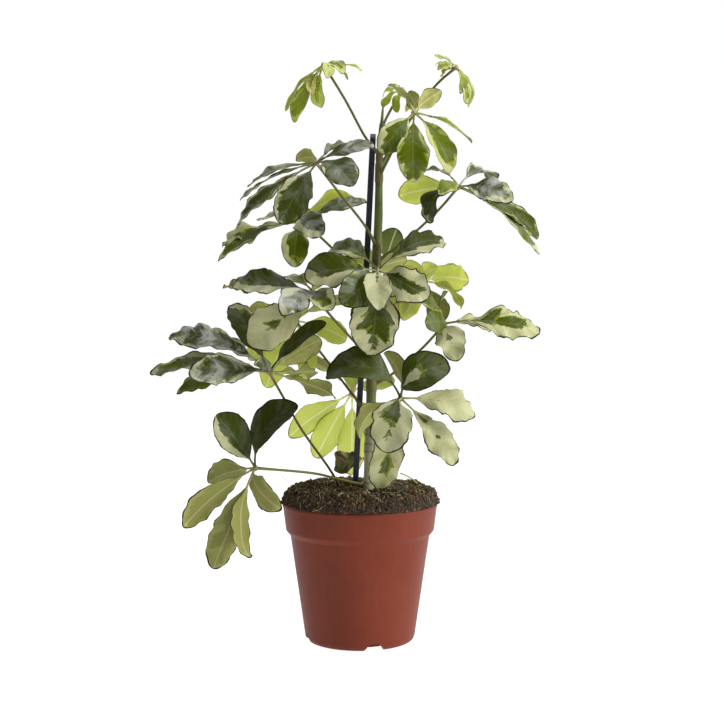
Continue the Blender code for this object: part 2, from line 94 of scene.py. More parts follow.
# Cane and stem.
CANE_SIZE = (3.2, 5.0)
CANE_GRID = (60, 28)  # rows and sides
CANE_ROUGH = 0.035
CANE_CHAMFER = 0.92  # size of its two end faces
CANE_CORNER = 0.35  # 1 makes its section an oval, and 0 a sharp oblong
CANE_FOOT = (-7.0, 6.0, 66.0)
CANE_TOP = (11.0, 5.0, 423.0)
STEM = (
    ((6.5, -15.0, 62.0), 4.3),
    ((6.9, -14.0, 125.0), 4.3),
    ((9.7, -6.0, 217.0), 4.1),
    ((12.8, -1.0, 290.0), 3.8),
    ((15.5, 0.0, 355.0), 3.5),
    ((16.0, 0.0, 401.0), 2.7),
    ((19.0, 1.0, 444.0), 0.8),
)
NODE_SWELLING = 0.6  # by which the stem is thicker at a leaf
NODE_LENGTH = 4.5
SCAR_OFFSET = 3.2  # from a leaf's node to the ring-shaped scar
STEM_ROWS = 300
STEM_SIDES = 28

# Compound leaves.
PETIOLE_RADIUS = 1.1
PETIOLE_BASE_RADIUS = 2.1
PETIOLE_SIDES = 12
PETIOLE_STEPS = 9
HUB_RADIUS = 2.5
HUB_GRID = (7, 14)  # rows and sides
HUB_LUMPS = 0.16
LOW_HUB = 160.0  # the stalk of a hub below this one is pale
STALK_RADIUS = 0.8
STALK_SHARE = 0.17  # of a leaflet's length, up to the foot of its blade
BLADE_THICKNESS = 0.34
BLADE_TIP = 0.4
BLADE_FULLEST = 0.58  # shares of the blade's length
TIP_START = 0.72
WAVES_PER_BLADE = 1.6
STALK_STATIONS = (0.02, 0.06, 0.10, 0.135, 0.17)
FOOT_ROWS = 15
END_ROWS = 14
ACROSS = 15  # points across one face of a blade
VEIN_SLANT = 0.85
VEIN_SPACING = 6.2
RIB_HEIGHT = 0.45  # of the midrib, under the foot of a blade
GROOVE_DEPTH = 0.14  # over the midrib
DENTS = 0.55

Leaflet = namedtuple("Leaflet", "tip width turn arch wave tone cream lean gloss")
Leaf = namedtuple("Leaf", "name root via hub leaflets")


def leaflet(x, y, z, width, turn=60, arch=6, wave=1.0, tone=0.3, cream=0.3, lean=0.0, gloss=0.3):
    """A leaflet whose tip is at (x, y, z) from its hub, and whose middle is lifted by arch.

    At turn 0 its upper side faces the front, at 90 it faces up and at 180 the back.
    tone runs from 0, old and dark, to 1, young and bright. cream is how much of the blade
    is cream, and a cream below 0 is a streak along the midrib. lean moves the cream towards
    one half. wave is the height of the waves. gloss sets how shiny the upper side is, how deep
    its quilting is, and how much painted sheen, pale silvery patches that stand in for
    reflected light, is mixed into its colour.
    """
    return Leaflet((x, y, z), width, turn, arch, wave, tone, cream, lean, gloss)


LEAVES = (
    Leaf("leaf_top_left", 405, [(4, -4, 420), (-12, 0, 450)], (-30, 5, 480), [
        leaflet(-32, 2, -38, 14, 65, arch=5, tone=1, cream=0.35),
        leaflet(-24, -10, -49, 16, 40, tone=1),
        leaflet(-10, -22, -28, 12, 140, cream=0.15),
        leaflet(-4, 12, -34, 15, 30, arch=8, tone=1, cream=0.45),
        leaflet(3, -20, -14, 11, 40, tone=0.65, cream=0.95),
        leaflet(18, -12, -8, 10, 30, arch=4, tone=0.55, cream=0.7),
        leaflet(32, 6, -3, 9, 70, arch=3, tone=0.8, cream=0.35),
        leaflet(20, 18, -9, 10, 80, arch=4, tone=0.6, cream=0.8),
    ]),
    Leaf("leaf_top_right", 394, [(32, 6, 420), (60, 9, 460)], (80, 10, 479), [
        leaflet(-18, -6, 9, 8, arch=2, tone=0.7, cream=0.5),
        leaflet(-17, 7, 5, 7, arch=2, tone=0.6, cream=0.4),
        leaflet(-16, -9, -3, 8, 40, arch=3, tone=0.7, cream=0.7),
        leaflet(-11, 9, -6, 7, arch=3, tone=1, cream=0.5),
        leaflet(4, -11, -24, 8, 30, tone=0.6, cream=0.4),
        leaflet(9, -4, -31, 9, 30, arch=7, tone=0.6, cream=0.55),
        leaflet(11, 5, -32, 8, 50, arch=8, tone=0.6, cream=0.4),
        leaflet(7, 14, -14, 8, arch=4, tone=0.9),
    ]),
    Leaf("leaf_youngest", 427, [(24, 5, 440)], (35, 9, 460), [
        leaflet(-17, 3, -4, 7, arch=3, tone=1, cream=0.2),
        leaflet(-16, -4, -16, 8, 40, arch=4, tone=1, cream=0.25),
        leaflet(-5, -7, -20, 8, 30, arch=4, tone=1, cream=0.2),
        leaflet(-10, 8, 5, 7, arch=2, tone=1, cream=0.2),
        leaflet(4, 6, -18, 8, 40, arch=4, tone=1, cream=0.2),
    ]),
    Leaf("leaf_top_front", 387, [(22, -7, 398), (30, -14, 413)], (44, -20, 437), [
        leaflet(-28, -14, -35, 22, 5, arch=7, tone=0.6, cream=0.42, lean=0.2),
        leaflet(-1, -18, -58, 26, 0, arch=8, tone=0.8),
        leaflet(30, -10, -50, 21, 30, arch=9, tone=0.85, cream=0.36, lean=0.3),
        leaflet(48, 5, -24, 17, 72, arch=5, tone=0.7, cream=0.45),
        leaflet(23, 10, 19, 15, 155, arch=4, tone=0.5, cream=0.6),
        leaflet(-4, 18, 20, 13, 140, arch=4, tone=0.4),
        leaflet(-21, 2, 23, 9, 110, arch=4, tone=0.6, cream=0.5),
    ]),
    Leaf("leaf_upper_front", 328, [(4, -10, 346), (-18, -24, 373)], (-35, -35, 394.5), [
        leaflet(47, -14, 13, 18, 50, arch=5, wave=0.5, tone=0.05, cream=0.15, gloss=0.8),
        leaflet(30, 30, 17, 17, tone=0.1, cream=0.2, gloss=0.5),
        leaflet(30, -38, -22, 27, 30, arch=8, tone=0.08, cream=0.12, gloss=0.5),
        leaflet(-28, -24, -50, 28, 0, arch=8, tone=0.06, cream=0.25, lean=0.25, gloss=0.35),
        leaflet(-64, 0, -49, 20, 55, tone=0.1, cream=0.35, gloss=0.6),
        leaflet(-64, 15, -28, 15, 72, arch=5, tone=0.2, cream=0.2, gloss=0.6),
        leaflet(-58, 30, -16, 16, 65, arch=5, tone=0.2, cream=0.25, gloss=0.6),
        leaflet(-17, 42, 8, 16, 120, tone=0.7, cream=0.5),
    ]),
    Leaf("leaf_upper_left", 293, [(-5, -4, 310), (-32, -8, 336)], (-48, -10, 349), [
        leaflet(-5, -28, -38, 22, 5, arch=8, tone=0.55, cream=0.5, lean=0.3),
        leaflet(17, -44, -14, 26, 20, arch=10, tone=0.1, cream=0.55, lean=0.7, gloss=0.7),
        leaflet(43, 26, 22, 21, 130, arch=8, tone=0.95, cream=0.4),
        leaflet(54, 12, 19, 15, 40, arch=5, tone=0.1, cream=0.12, gloss=0.8),
        leaflet(-68, 2, -18, 19, 50, wave=3.5, tone=0.45, cream=0.8),
        leaflet(-68, -14, -33, 18, arch=8, tone=0.35, cream=0.35),
        leaflet(-38, 42, 4, 18, tone=0.5, cream=0.6),
        leaflet(-3, 48, 9, 18, 120, tone=0.5, cream=0.4),
    ]),
    Leaf("leaf_upper_right", 316, [(40, -3, 336), (64, -4, 358)], (81.5, -5, 378), [
        leaflet(41, -36, -13, 23, 28, tone=0.1, cream=0.4, gloss=0.85),
        leaflet(31, 32, 8, 24, 55, arch=12, tone=0.1, cream=0.35, gloss=1),
        leaflet(68, 2, -42, 17, 35, arch=9, tone=0.15, cream=0.25),
        leaflet(66, -12, -56, 14, arch=8, tone=0.2, cream=0.4, gloss=0.4),
        leaflet(-26, 20, 16, 14, 75, tone=0.1, cream=0.2, gloss=0.6),
        leaflet(-49, 24, -5, 25, 155, arch=5, tone=0.92, cream=0.5),
        leaflet(-24, -14, -31, 22, arch=12, tone=0.05, cream=0.15),
        leaflet(-18, -34, -8, 14, 30, tone=0.45),
    ]),
    Leaf("leaf_middle_front", 329, [(17, -18, 327), (16, -34, 319)], (14.5, -45, 308), [
        leaflet(55, 14, 25, 25, 35, arch=13, tone=0.0, cream=0.4, lean=0.5, gloss=0.2),
        leaflet(-40, 26, 18, 22, 35, arch=13, tone=0.15, cream=0.38, lean=-0.45, gloss=0.4),
        leaflet(-59, -10, -5, 29, 20, arch=9, tone=0.15, cream=0.6, lean=-0.8),
        leaflet(-29, -34, -27, 30, 0, arch=8, cream=0.08, gloss=0.5),
        leaflet(0, -42, -32, 21, 0, arch=9, tone=0.15, cream=0.95, lean=0.3),
        leaflet(-6, -24, -67, 39, 0, arch=7, tone=0.2, cream=0.56, lean=0.15),
        leaflet(39, -28, -22, 30, 10, arch=9, wave=2.5, tone=0.15, cream=0.62, lean=0.2),
        leaflet(24, 36, 10, 18, 150, tone=0.5),
    ]),
    Leaf("leaf_middle_back", 280, [(17, 22, 290), (21, 44, 306)], (23, 58, 316), [
        leaflet(10, 24, 33, 26, 165, tone=0.05, cream=0.0),
        leaflet(-36, 22, 5, 22, 150, tone=0.8, cream=0.4),
        leaflet(-26, 18, -34, 22, 160, tone=0.85, cream=0.4),
        leaflet(6, 24, -46, 24, 170, tone=0.8, cream=0.4),
        leaflet(36, 26, -16, 22, 150, tone=0.8, cream=0.4),
    ]),
    Leaf("leaf_middle_left", 230, [(-1, -12, 246), (-24, -28, 272)], (-37, -40, 290), [
        leaflet(-66, 4, 6, 27, 45, tone=0.1, cream=0.5, lean=-0.6, gloss=0.5),
        leaflet(-76, 22, 6, 15, arch=3, wave=3.0, tone=0.5, cream=0.8),
        leaflet(-52, -14, -42, 33, 5, arch=9, tone=0.35, cream=1.06),
        leaflet(-23, -44, -17, 24, 25, arch=8, tone=0.1, cream=0.35, lean=0.3, gloss=0.8),
        leaflet(15, -42, -13, 20, 20, cream=0.6),
        leaflet(-32, 44, 12, 18, tone=0.6, cream=0.5),
        leaflet(10, 40, 12, 18, 110, tone=0.7),
    ]),
    Leaf("leaf_right_back", 270, [(28, 12, 280), (44, 24, 292)], (54, 30, 301), [
        leaflet(41, 20, 1, 24, 165, arch=3, wave=4.0, tone=0.95, cream=0.6),
        leaflet(14, 34, 13, 18, 140, tone=0.8, cream=0.4),
        leaflet(34, -10, -23, 13, 120, wave=2.5, tone=0.85, cream=0.5),
        leaflet(15, -6, -38, 22, 150, tone=0.35, cream=0.15),
        leaflet(-16, 24, -34, 20, 165, tone=0.8, cream=0.4),
    ]),
    Leaf("leaf_middle_right", 213, [(28, -6, 224), (52, -9, 245)], (70, -10, 265), [
        leaflet(79, -6, -7, 26, 30, arch=13, wave=4.0, tone=0.45, cream=0.7, lean=0.3),
        leaflet(8, -38, -29, 24, 0, arch=9, wave=2.0, cream=1.0),
        leaflet(-18, -36, 2, 21, 15, tone=0.5, cream=0.2),
        leaflet(-26, -6, 20, 18, tone=0.45, cream=0.2),
        leaflet(4, 20, 26, 14, 80, tone=0.1, cream=0.1),
        leaflet(40, 34, -6, 20, tone=0.5, cream=0.5),
    ]),
    Leaf("leaf_left_back", 187, [(-2, -2, 200), (-30, 14, 236)], (-55, 25, 267), [
        leaflet(-26, 8, -58, 24, 165, arch=5, tone=0.95),
        leaflet(-42, 20, -34, 22, 150, tone=0.9),
        leaflet(46, 12, 18, 20, 120, tone=0.7, cream=0.2),
        leaflet(44, 4, -16, 22, 160, tone=0.9),
        leaflet(7, 46, 13, 20, 130, tone=0.7),
        leaflet(-44, 32, 8, 18, 130, tone=0.7),
        leaflet(8, 22, -52, 20, 160, tone=0.95),
    ]),
    Leaf("leaf_lower_left", (-15, -2, 96), [
        (-18, -3, 130), (-48, -8, 176), (-63, -11, 203),
    ], (-75, -15, 225), [
        leaflet(-84, 10, 29, 26, 40, arch=17, wave=2.0, tone=0.05, cream=0.36, gloss=1),
        leaflet(-99, 2, -1, 19, 45, arch=13, wave=2.0, tone=0.35, cream=0.35, gloss=0.5),
        leaflet(-62, -34, 0, 26, 25, arch=8, tone=0.05, cream=0.36, gloss=0.8),
        leaflet(-76, -12, -16, 18, 50, arch=8, wave=2.0, tone=0.5),
        leaflet(-33, 16, 56, 26, 30, tone=0.12, lean=0.3),
        leaflet(48, -26, 41, 17, 45, arch=5, tone=0.1, cream=0.0),
        leaflet(43, 8, 27, 26, 160, arch=4, tone=0.6, cream=0.8),
        leaflet(40, -36, 3, 15, 130, arch=2, wave=3.5, tone=0.45),
        leaflet(57, -16, -19, 14, 150, arch=4, wave=3.5, tone=0.4, cream=0.2),
        leaflet(-9, -38, 8, 13, tone=0.1, cream=0.1, gloss=0.8),
    ]),
    Leaf("leaf_lower_front", 176, [(18, -24, 190), (27, -42, 200)], (32.5, -50, 206), [
        leaflet(-61, -6, 20, 35, 45, arch=25, tone=0.15, cream=0.0),
        leaflet(38, -20, 28, 34, 38, arch=16, tone=0.15, cream=-0.18),
        leaflet(60, 0, -13, 24, 20, arch=9, wave=3.0, cream=1.05),
        leaflet(45, -4, -53, 21, 10, arch=5, wave=3.5, cream=1.05),
        leaflet(-13, -36, -40, 33, 10, arch=15, tone=0.1, cream=0.7, lean=-0.3),
        leaflet(-18, 8, -75, 26, 0, arch=2, wave=2.0, tone=0.55, cream=0.85),
        leaflet(-34, -14, -31, 20, 140, arch=10, tone=0.5, cream=0.2),
        leaflet(-12, 24, 36, 20, 120, tone=0.5, cream=0.1),
    ]),
    Leaf("leaf_lower_back", 162, [(6, 14, 178), (-2, 34, 196)], (-7, 45, 204), [
        leaflet(-56, 6, -39, 24, 160, arch=5, tone=1),
        leaflet(-32, 6, -58, 25, 170, arch=5, tone=1),
        leaflet(-1, 6, -73, 26, 175, arch=5, tone=1),
        leaflet(-54, 10, 31, 22, 120, arch=8, tone=0.5, cream=0.45),
        leaflet(-8, 44, 16, 18, 140, tone=0.8),
        leaflet(38, 24, 8, 22, 140, tone=0.8),
        leaflet(32, 14, -48, 22, 160, tone=0.9),
    ]),
    Leaf("leaf_lowest_left", 130, [(-17, -14, 136), (-40, -19, 142)], (-85.5, -30, 147.5), [
        leaflet(-30, -14, 45, 30, 30, tone=0.12, cream=0.14, lean=-0.9),
        leaflet(35, -10, 53, 34, 48, arch=14, tone=0.08, cream=0.0),
        leaflet(-42, 34, -15, 24, 150, arch=3, tone=0.5),
        leaflet(-59, -4, -48, 25, 150, arch=7, tone=0.5),
        leaflet(-34, -10, -81, 27, 160, arch=4, tone=0.5, cream=0.55),
        leaflet(-4, -26, -70, 22, 130, arch=13, tone=0.4, cream=0.25),
        leaflet(24, -40, -28, 22, 150, arch=-11, tone=0.4),
    ]),
)

# A fallen leaflet that has turned brown stands in the peat behind the cane.
DEAD_LEAFLET = leaflet(-31, 2, -6, 20, 25, arch=5, wave=2.5)
DEAD_HUB = (8, 19, 151)
FALLEN_STALK = ((34, 11, 138), (39, 12, 136), (45, 14, 132), (50, 15, 127))
LOOSE_HAIRS = (
    ((-66, -20, 141), (-61, -19, 136), (-56, -18, 130)),
    ((60, -14, 128), (69, -16, 131.5), (77, -18, 132)),
)

# Colours, in linear light.
OLD_DARK = (0.044, 0.057, 0.006)
OLD_MID = (0.125, 0.155, 0.022)
OLD_CREAM = (0.52, 0.515, 0.30)
YOUNG_DARK = (0.105, 0.150, 0.001)
YOUNG_MID = (0.30, 0.34, 0.018)
YOUNG_CREAM = (0.58, 0.59, 0.28)
YOUNG_SOFT = (0.46, 0.53, 0.055)
OLD_UNDERSIDE = (0.075, 0.105, 0.016)
UNDERSIDE = (0.41, 0.41, 0.125)
# Young undersides: a pale yellow-green, brightened past a real leaf's as painted backlight, light shining
# through from behind.
YOUNG_UNDERSIDE_AND_PAINTED_BACKLIGHT = (0.74, 0.79, 0.130)
LIT_THROUGH = (0.79, 0.83, 0.38)
VEIN = (0.80, 0.79, 0.48)
EDGE_LINE = (0.012, 0.014, 0.003)
# Painted sheen: a pale silvery grey mixed in patches into glossy upper sides, standing in for reflected
# light.
PAINTED_SHEEN_COLOUR = (0.52, 0.53, 0.48)
PETIOLE_GREEN = (0.090, 0.090, 0.018)
PETIOLE_PALE = (0.36, 0.38, 0.10)
PETIOLE_BROWN = (0.055, 0.038, 0.012)
HUB_TAN = (0.33, 0.24, 0.13)
POT_RED = (0.158, 0.026, 0.010)
POT_RED_LIGHT = (0.176, 0.031, 0.013)
RIB_LIT = (1.0, 1.0, 0.86)
DEAD_DARK = (0.070, 0.038, 0.016)
DEAD_TAN = (0.30, 0.24, 0.085)
DEAD_GREEN = (0.075, 0.110, 0.020)
DEAD_RIB = (0.20, 0.13, 0.06)
POT_STREAK = (0.20, 0.08, 0.055)
POT_DIRT = (0.10, 0.07, 0.045)
PEAT_DARK = (0.014, 0.009, 0.004)
PEAT_BROWN = (0.130, 0.078, 0.034)
# Pale specks on the peat: painted highlights on its grains.
PEAT_PAINTED_GLINT = (0.11, 0.075, 0.040)
STEM_DARK = (0.048, 0.068, 0.012)
STEM_GREEN = (0.105, 0.130, 0.026)
# Pale stem foot: partly paler bark, partly painted light that offsets the shade of the leaves on it.
STEM_FOOT_AND_PAINTED_LIGHT = (0.60, 0.60, 0.41)
STEM_STREAK = (0.16, 0.14, 0.06)
STEM_PORE = (0.32, 0.28, 0.18)
STEM_SCAR = (0.15, 0.075, 0.045)
CANE_DARK = (0.006, 0.012, 0.022)
CANE_BLUE = (0.020, 0.038, 0.060)
CANE_WORN = (0.05, 0.07, 0.08)
FLOOR_DARK = (0.24, 0.24, 0.24)
FLOOR_PALE = (0.25, 0.25, 0.25)

# What lies on the peat. In TINTS and FIBRE_KINDS the first half is mostly in warm patches
# and the rest in dark ones.
TINTS = (
    (0.105, 0.052, 0.021),
    (0.150, 0.080, 0.032),
    (0.050, 0.026, 0.012),
    (0.008, 0.006, 0.003),
    (0.016, 0.013, 0.006),
    (0.070, 0.068, 0.023),
)
# The peat's own surface takes a near-black tint: dark peat, darkened further as painted shade in the gaps
# between the crumbs.
PEAT_TINT_AND_PAINTED_SHADE = TINTS[4]
CRUMB_SIZES = (0.3, 0.4, 0.5, 0.6, 0.8, 1.2)
RIM_CRUMB_SIZES = (0.4, 0.6, 0.9, 1.3)
RIM_CRUMB_BAND = (60.0, 66.8)
CLOD_BAND = (52.0, 65.5)
BARK_TINT = (0.100, 0.034, 0.017)
BARK = (  # x, y and size
    (38, -15, 2.2), (42, -20, 2.6), (45, -26, 2.0), (40, -28, 1.8), (-30, -40, 2.0), (12, -52, 1.6),
)
FIBRE_KINDS = (  # radius and tint
    (0.20, (0.24, 0.115, 0.045)),
    (0.26, (0.10, 0.050, 0.022)),
    (0.24, (0.17, 0.075, 0.030)),
    (0.16, (0.18, 0.09, 0.036)),
    (0.30, (0.030, 0.018, 0.009)),
    (0.28, (0.62, 0.50, 0.26)),
    (0.24, (0.050, 0.062, 0.018)),
)
FIBRE_LENGTHS = (2, 3, 4, 5, 7, 12)
FIBRE_BOWS = (0.2, 0.4, 0.8, 1.4)  # how far the middle of a fibre stands off the peat
MOSS_TINTS = ((0.070, 0.100, 0.016), (0.14, 0.18, 0.035), (0.040, 0.055, 0.014), (0.50, 0.48, 0.20))

# Studio and camera, in metres.
FRONT_LIGHT = 0.10  # strength of the backdrop as a light, where it is in front of the plant
BACK_LIGHT = 1.15  # and where it is behind
BRIGHT_SIDE = (0.40, 0.917, 0.0)
LIGHT_TARGET = (0, 0, 0.25)
LIGHTS = (  # name, place, size and power
    ("key_light", (1.25, -0.60, 0.75), 0.6, 21.0),
    ("overhead_light", (0.1, -0.10, 1.35), 0.7, 9.0),
)
SQUARE = ((-1, -1), (1, -1), (1, 1), (-1, 1))
FLOOR_REACH = 4  # from its middle to a side
FLOOR_HEIGHT = -0.0005
FLOOR_GLOW = 0.95
CAMERA_PLACE = (0, -1.08, 0.28)
CAMERA_TILT = 87.5  # 90 is level
CAMERA_LENS = 64.24  # millimetres
CAMERA_SHIFT = 0.0028


class Value:
    """A number, colour or shader in a graph. Numbers take + - * / and abs through math nodes."""

    def __init__(self, graph, socket):
        self.graph = graph
        self.socket = socket

    def __add__(self, other):
        return self.graph.math("ADD", self, other)

    def __sub__(self, other):
        return self.graph.math("SUBTRACT", self, other)

    def __rsub__(self, other):
        return self.graph.math("SUBTRACT", other, self)

    def __mul__(self, other):
        return self.graph.math("MULTIPLY", self, other)

    def __truediv__(self, other):
        return self.graph.math("DIVIDE", self, other)

    def __abs__(self):
        return self.graph.math("ABSOLUTE", self)


class Graph:
    """Short calls that build the nodes of one material, or of the world."""

    def __init__(self, name, kept_in=None):
        self.owner = (bpy.data.materials if kept_in is None else kept_in).new(name)
        self.owner.use_nodes = True
        self.tree = self.owner.node_tree
        self.tree.nodes.clear()

    def node(self, kind, values=(), **settings):
        """A new node with these settings, whose inputs are linked or set to the values."""
        made = self.tree.nodes.new("ShaderNode" + kind)
        for key, value in settings.items():
            setattr(made, key, value)
        for key, value in dict(values).items():
            if isinstance(value, Value):
                self.tree.links.new(value.socket, made.inputs[key])
            else:
                made.inputs[key].default_value = value
        return made

    def output(self, key, kind, values=(), **settings):
        """One output of a new node."""
        return Value(self, self.node(kind, values, **settings).outputs[key])

    def parts(self, vector):
        """The x, y and z of a vector."""
        return [Value(self, socket) for socket in self.node("SeparateXYZ", {0: vector}).outputs]

    def attribute(self, name):
        """A vector stored on the mesh, and its three parts."""
        vector = self.output("Vector", "Attribute", attribute_name=name)
        return vector, *self.parts(vector)

    def place(self):
        """Where the point is, in metres."""
        return self.output("Object", "TexCoord")

    def math(self, operation, *values):
        return self.output(0, "Math", dict(enumerate(values)), operation=operation)

    def stretch(self, vector, scale, offset=(0, 0, 0)):
        return self.output(0, "Mapping", {"Vector": vector, "Scale": scale, "Location": offset})

    def noise(self, vector, scale, detail=3.0, roughness=0.55):
        values = {"Vector": vector, "Scale": scale, "Detail": detail, "Roughness": roughness}
        return self.output("Fac", "TexNoise", values)

    def blade_noise(self, vein, across, along, detail, offset=(0, 0, 0), roughness=0.55):
        """Noise with its own scales across a blade and along it, different for each leaflet."""
        return self.noise(self.stretch(vein, (across, along, 1.0), offset), 1.0, detail, roughness)

    def step(self, value, low, high):
        """0 below low, 1 above high, and smooth between them."""
        values = {"Value": value, "From Min": low, "From Max": high}
        return self.output(0, "MapRange", values, interpolation_type="SMOOTHSTEP")

    def range(self, value, low, high, start, end):
        values = {"Value": value, "From Min": low, "From Max": high, "To Min": start, "To Max": end}
        return self.output(0, "MapRange", values)

    def mix(self, share, first, second):
        """A colour between first and second."""
        first, second = (
            (*colour, 1.0) if isinstance(colour, tuple) else colour for colour in (first, second)
        )
        return self.output(2, "Mix", {0: share, 6: first, 7: second}, data_type="RGBA")

    def bump(self, height, strength, distance=0.0003):
        values = {"Height": height, "Strength": strength, "Distance": distance}
        return self.output(0, "Bump", values)

    def principled(self, colour, roughness, normal=None, **constants):
        values = {"Base Color": colour, "Roughness": roughness}
        if normal is not None:
            values["Normal"] = normal
        values.update({key.replace("_", " "): value for key, value in constants.items()})
        return self.output(0, "BsdfPrincipled", values)

    def end(self, shader, output="OutputMaterial"):
        self.node(output, {"Surface": shader})
        return self.owner


def leaf_material():
    """Variegated leaf: feathered cream margins, veins and a paler underside, with painted sheen on glossy
    upper sides and painted backlight on young undersides.
    """
    g = Graph("variegated_leaf")
    vein, across, run, _ = g.attribute("vein_place")
    _, margin, tone, rim = g.attribute("leaf_look")
    _, upper, gloss, soft = g.attribute("leaf_side")
    _, lit, _, _ = g.attribute("leaf_lit")
    under = 1.0 - upper

    sectors = g.blade_noise(vein, 0.055, 0.065, 1.0)
    teeth = g.blade_noise(vein, 0.12, 0.28, 2.0, (20, 0, 3), 0.5)
    patches = g.blade_noise(vein, 0.09, 0.14, 3.0, (40, 0, 5), 0.6)
    wander = (sectors - 0.5) * 1.5
    cream = g.step(margin + wander + (teeth - 0.5) * 0.62, -0.03, 0.03)
    mid = g.step(margin + (patches - 0.5) * 1.6 + wander, -0.10, -0.02)

    dark_green = g.mix(tone, OLD_DARK, YOUNG_DARK)
    mid_green = g.mix(tone, OLD_MID, YOUNG_MID)
    pale = g.mix(tone, OLD_CREAM, YOUNG_CREAM)
    tint = g.blade_noise(vein, 0.06, 0.10, 3.0, (0, 9, 9))
    pale = g.mix(g.step(tint, 0.40, 0.66), pale, g.mix(0.30, pale, mid_green))
    colour = g.mix(cream, g.mix(mid, dark_green, mid_green), pale)
    colour = g.mix(soft * 0.6, colour, YOUNG_SOFT)

    # Painted sheen: silvery patches that stand in for reflections on the quilted upper side, mixed into
    # the colour of glossy leaflets.
    quilt = g.blade_noise(vein, 0.20, 0.30, 2.0, (2, 6, 4))
    painted_sheen = g.blade_noise(vein, 0.045, 0.075, 2.0, (7, 3, 2)) + (quilt - 0.5) * 0.45
    painted_sheen = g.step(painted_sheen, 0.42, 0.66) * (gloss * upper)
    colour = g.mix(painted_sheen * g.range(gloss, 0.2, 1.0, 0.25, 0.85), colour, PAINTED_SHEEN_COLOUR)

    back_green = g.mix(g.step(tone, 0.0, 0.4), OLD_UNDERSIDE, UNDERSIDE)
    # Young undersides take a colour brightened as painted backlight.
    back_green = g.mix(g.step(tone, 0.6, 1.0), back_green, YOUNG_UNDERSIDE_AND_PAINTED_BACKLIGHT)
    colour = g.mix(under * 0.78, colour, back_green)
    midrib = 1.0 - g.step(abs(across), 0.25, 0.85)
    colour = g.mix(midrib * (under * 0.30 + 0.05), colour, VEIN)
    phase = g.math("FRACT", run / VEIN_SPACING)
    lateral = 1.0 - g.step(abs(phase - 0.5), 0.02, 0.09)
    colour = g.mix(lateral * 0.025, colour, VEIN)

    nibbled = g.blade_noise(vein, 0.30, 0.55, 3.0, (3, 8, 1)) * 0.5 + sectors
    outline = rim + (nibbled - 0.75) * g.range(rim, 0.75, 1.0, 0.0, 0.34)
    old = 1.0 - g.step(tone, 0.45, 0.95) * 0.78
    colour = g.mix(g.step(outline, 0.915, 0.955) * (old * 0.96), colour, EDGE_LINE)

    cells = g.blade_noise(vein, 2.2, 2.2, 2.0)
    swell = g.blade_noise(vein, 0.25, 0.35, 2.0, (1, 5, 7))
    normal = g.bump(lateral * -0.5 + cells * 0.35 + swell * 2.2, 0.35)
    roughness = g.range(cells, 0.3, 0.7, 0.27, 0.38) + under * 0.25
    polish = g.range(gloss, 0.3, 1.0, 0.12, 0.55)
    surface = g.principled(colour, roughness, normal, Specular_IOR_Level=polish)
    glow = g.mix(midrib * 0.7, LIT_THROUGH, RIB_LIT)
    glow = g.mix(g.step(outline, 0.93, 0.97) * 0.6, glow, OLD_MID)
    through = g.output(0, "BsdfTranslucent", {"Color": g.mix(lit, colour, glow)})
    thin = g.range(lit, 0.0, 1.0, 0.20, 0.90)
    return g.end(g.output(0, "MixShader", {0: thin, 1: surface, 2: through}))


def petiole_material():
    """Leaf stalks: olive green with brown shading, tan where the leaflets join."""
    g = Graph("leaf_stalk")
    place, _, _, _ = g.attribute("vein_place")
    _, tan, paleness, _ = g.attribute("leaf_look")
    streaks = g.blade_noise(place, 1.4, 0.12, 4.0)
    colour = g.mix(g.step(streaks, 0.42, 0.62), PETIOLE_GREEN, PETIOLE_BROWN)
    colour = g.mix(paleness, colour, PETIOLE_PALE)
    colour = g.mix(tan, colour, HUB_TAN)
    normal = g.bump(streaks, 0.3, 0.0002)
    roughness = g.range(streaks, 0.3, 0.7, 0.38, 0.52)
    return g.end(g.principled(colour, roughness, normal, Specular_IOR_Level=0.2))


def dead_leaf_material():
    """A brown leaflet with a little green left in it."""
    g = Graph("dead_leaf")
    vein, across, _, _ = g.attribute("vein_place")
    blotches = g.blade_noise(vein, 0.12, 0.2, 5.0)
    green_left = g.blade_noise(vein, 0.10, 0.10, 2.0, (4, 2, 6))
    colour = g.mix(g.step(blotches, 0.44, 0.56), DEAD_DARK, DEAD_TAN)
    colour = g.mix(g.step(green_left, 0.52, 0.58), colour, DEAD_GREEN)
    midrib = 1.0 - g.step(abs(across), 0.25, 0.8)
    colour = g.mix(midrib * 0.6, colour, DEAD_RIB)
    return g.end(g.principled(colour, g.range(blotches, 0.3, 0.7, 0.7, 0.9), g.bump(blotches, 0.5)))


def plastic_material():
    """Satin terracotta plastic with faint flow marks, scuffs and dust."""
    g = Graph("pot_plastic_satin")
    place = g.place()
    cloud = g.noise(place, 22.0)
    streaks = g.noise(g.stretch(place, (1.0, 1.0, 0.08)), 260.0)
    dust = g.noise(place, 900.0, 2.0)
    grain = g.noise(place, 2400.0, 2.0)
    colour = g.mix(g.step(cloud, 0.35, 0.65), POT_RED, POT_RED_LIGHT)
    colour = g.mix(g.step(streaks, 0.5, 0.7) * 0.10, colour, POT_STREAK)
    near_rim = g.step(g.parts(place)[2], (POT_HEIGHT - 9) * MM, POT_HEIGHT * MM)
    dirt = g.step(dust, 0.60, 0.68) * (near_rim * 0.5 + 0.06)
    colour = g.mix(dirt, colour, POT_DIRT)
    normal = g.bump(grain * 0.4 + streaks, 0.12, 0.0001)
    roughness = g.range(cloud, 0.3, 0.7, 0.46, 0.56) + dirt * 0.5
    return g.end(g.principled(colour, roughness, normal, Specular_IOR_Level=0.18))


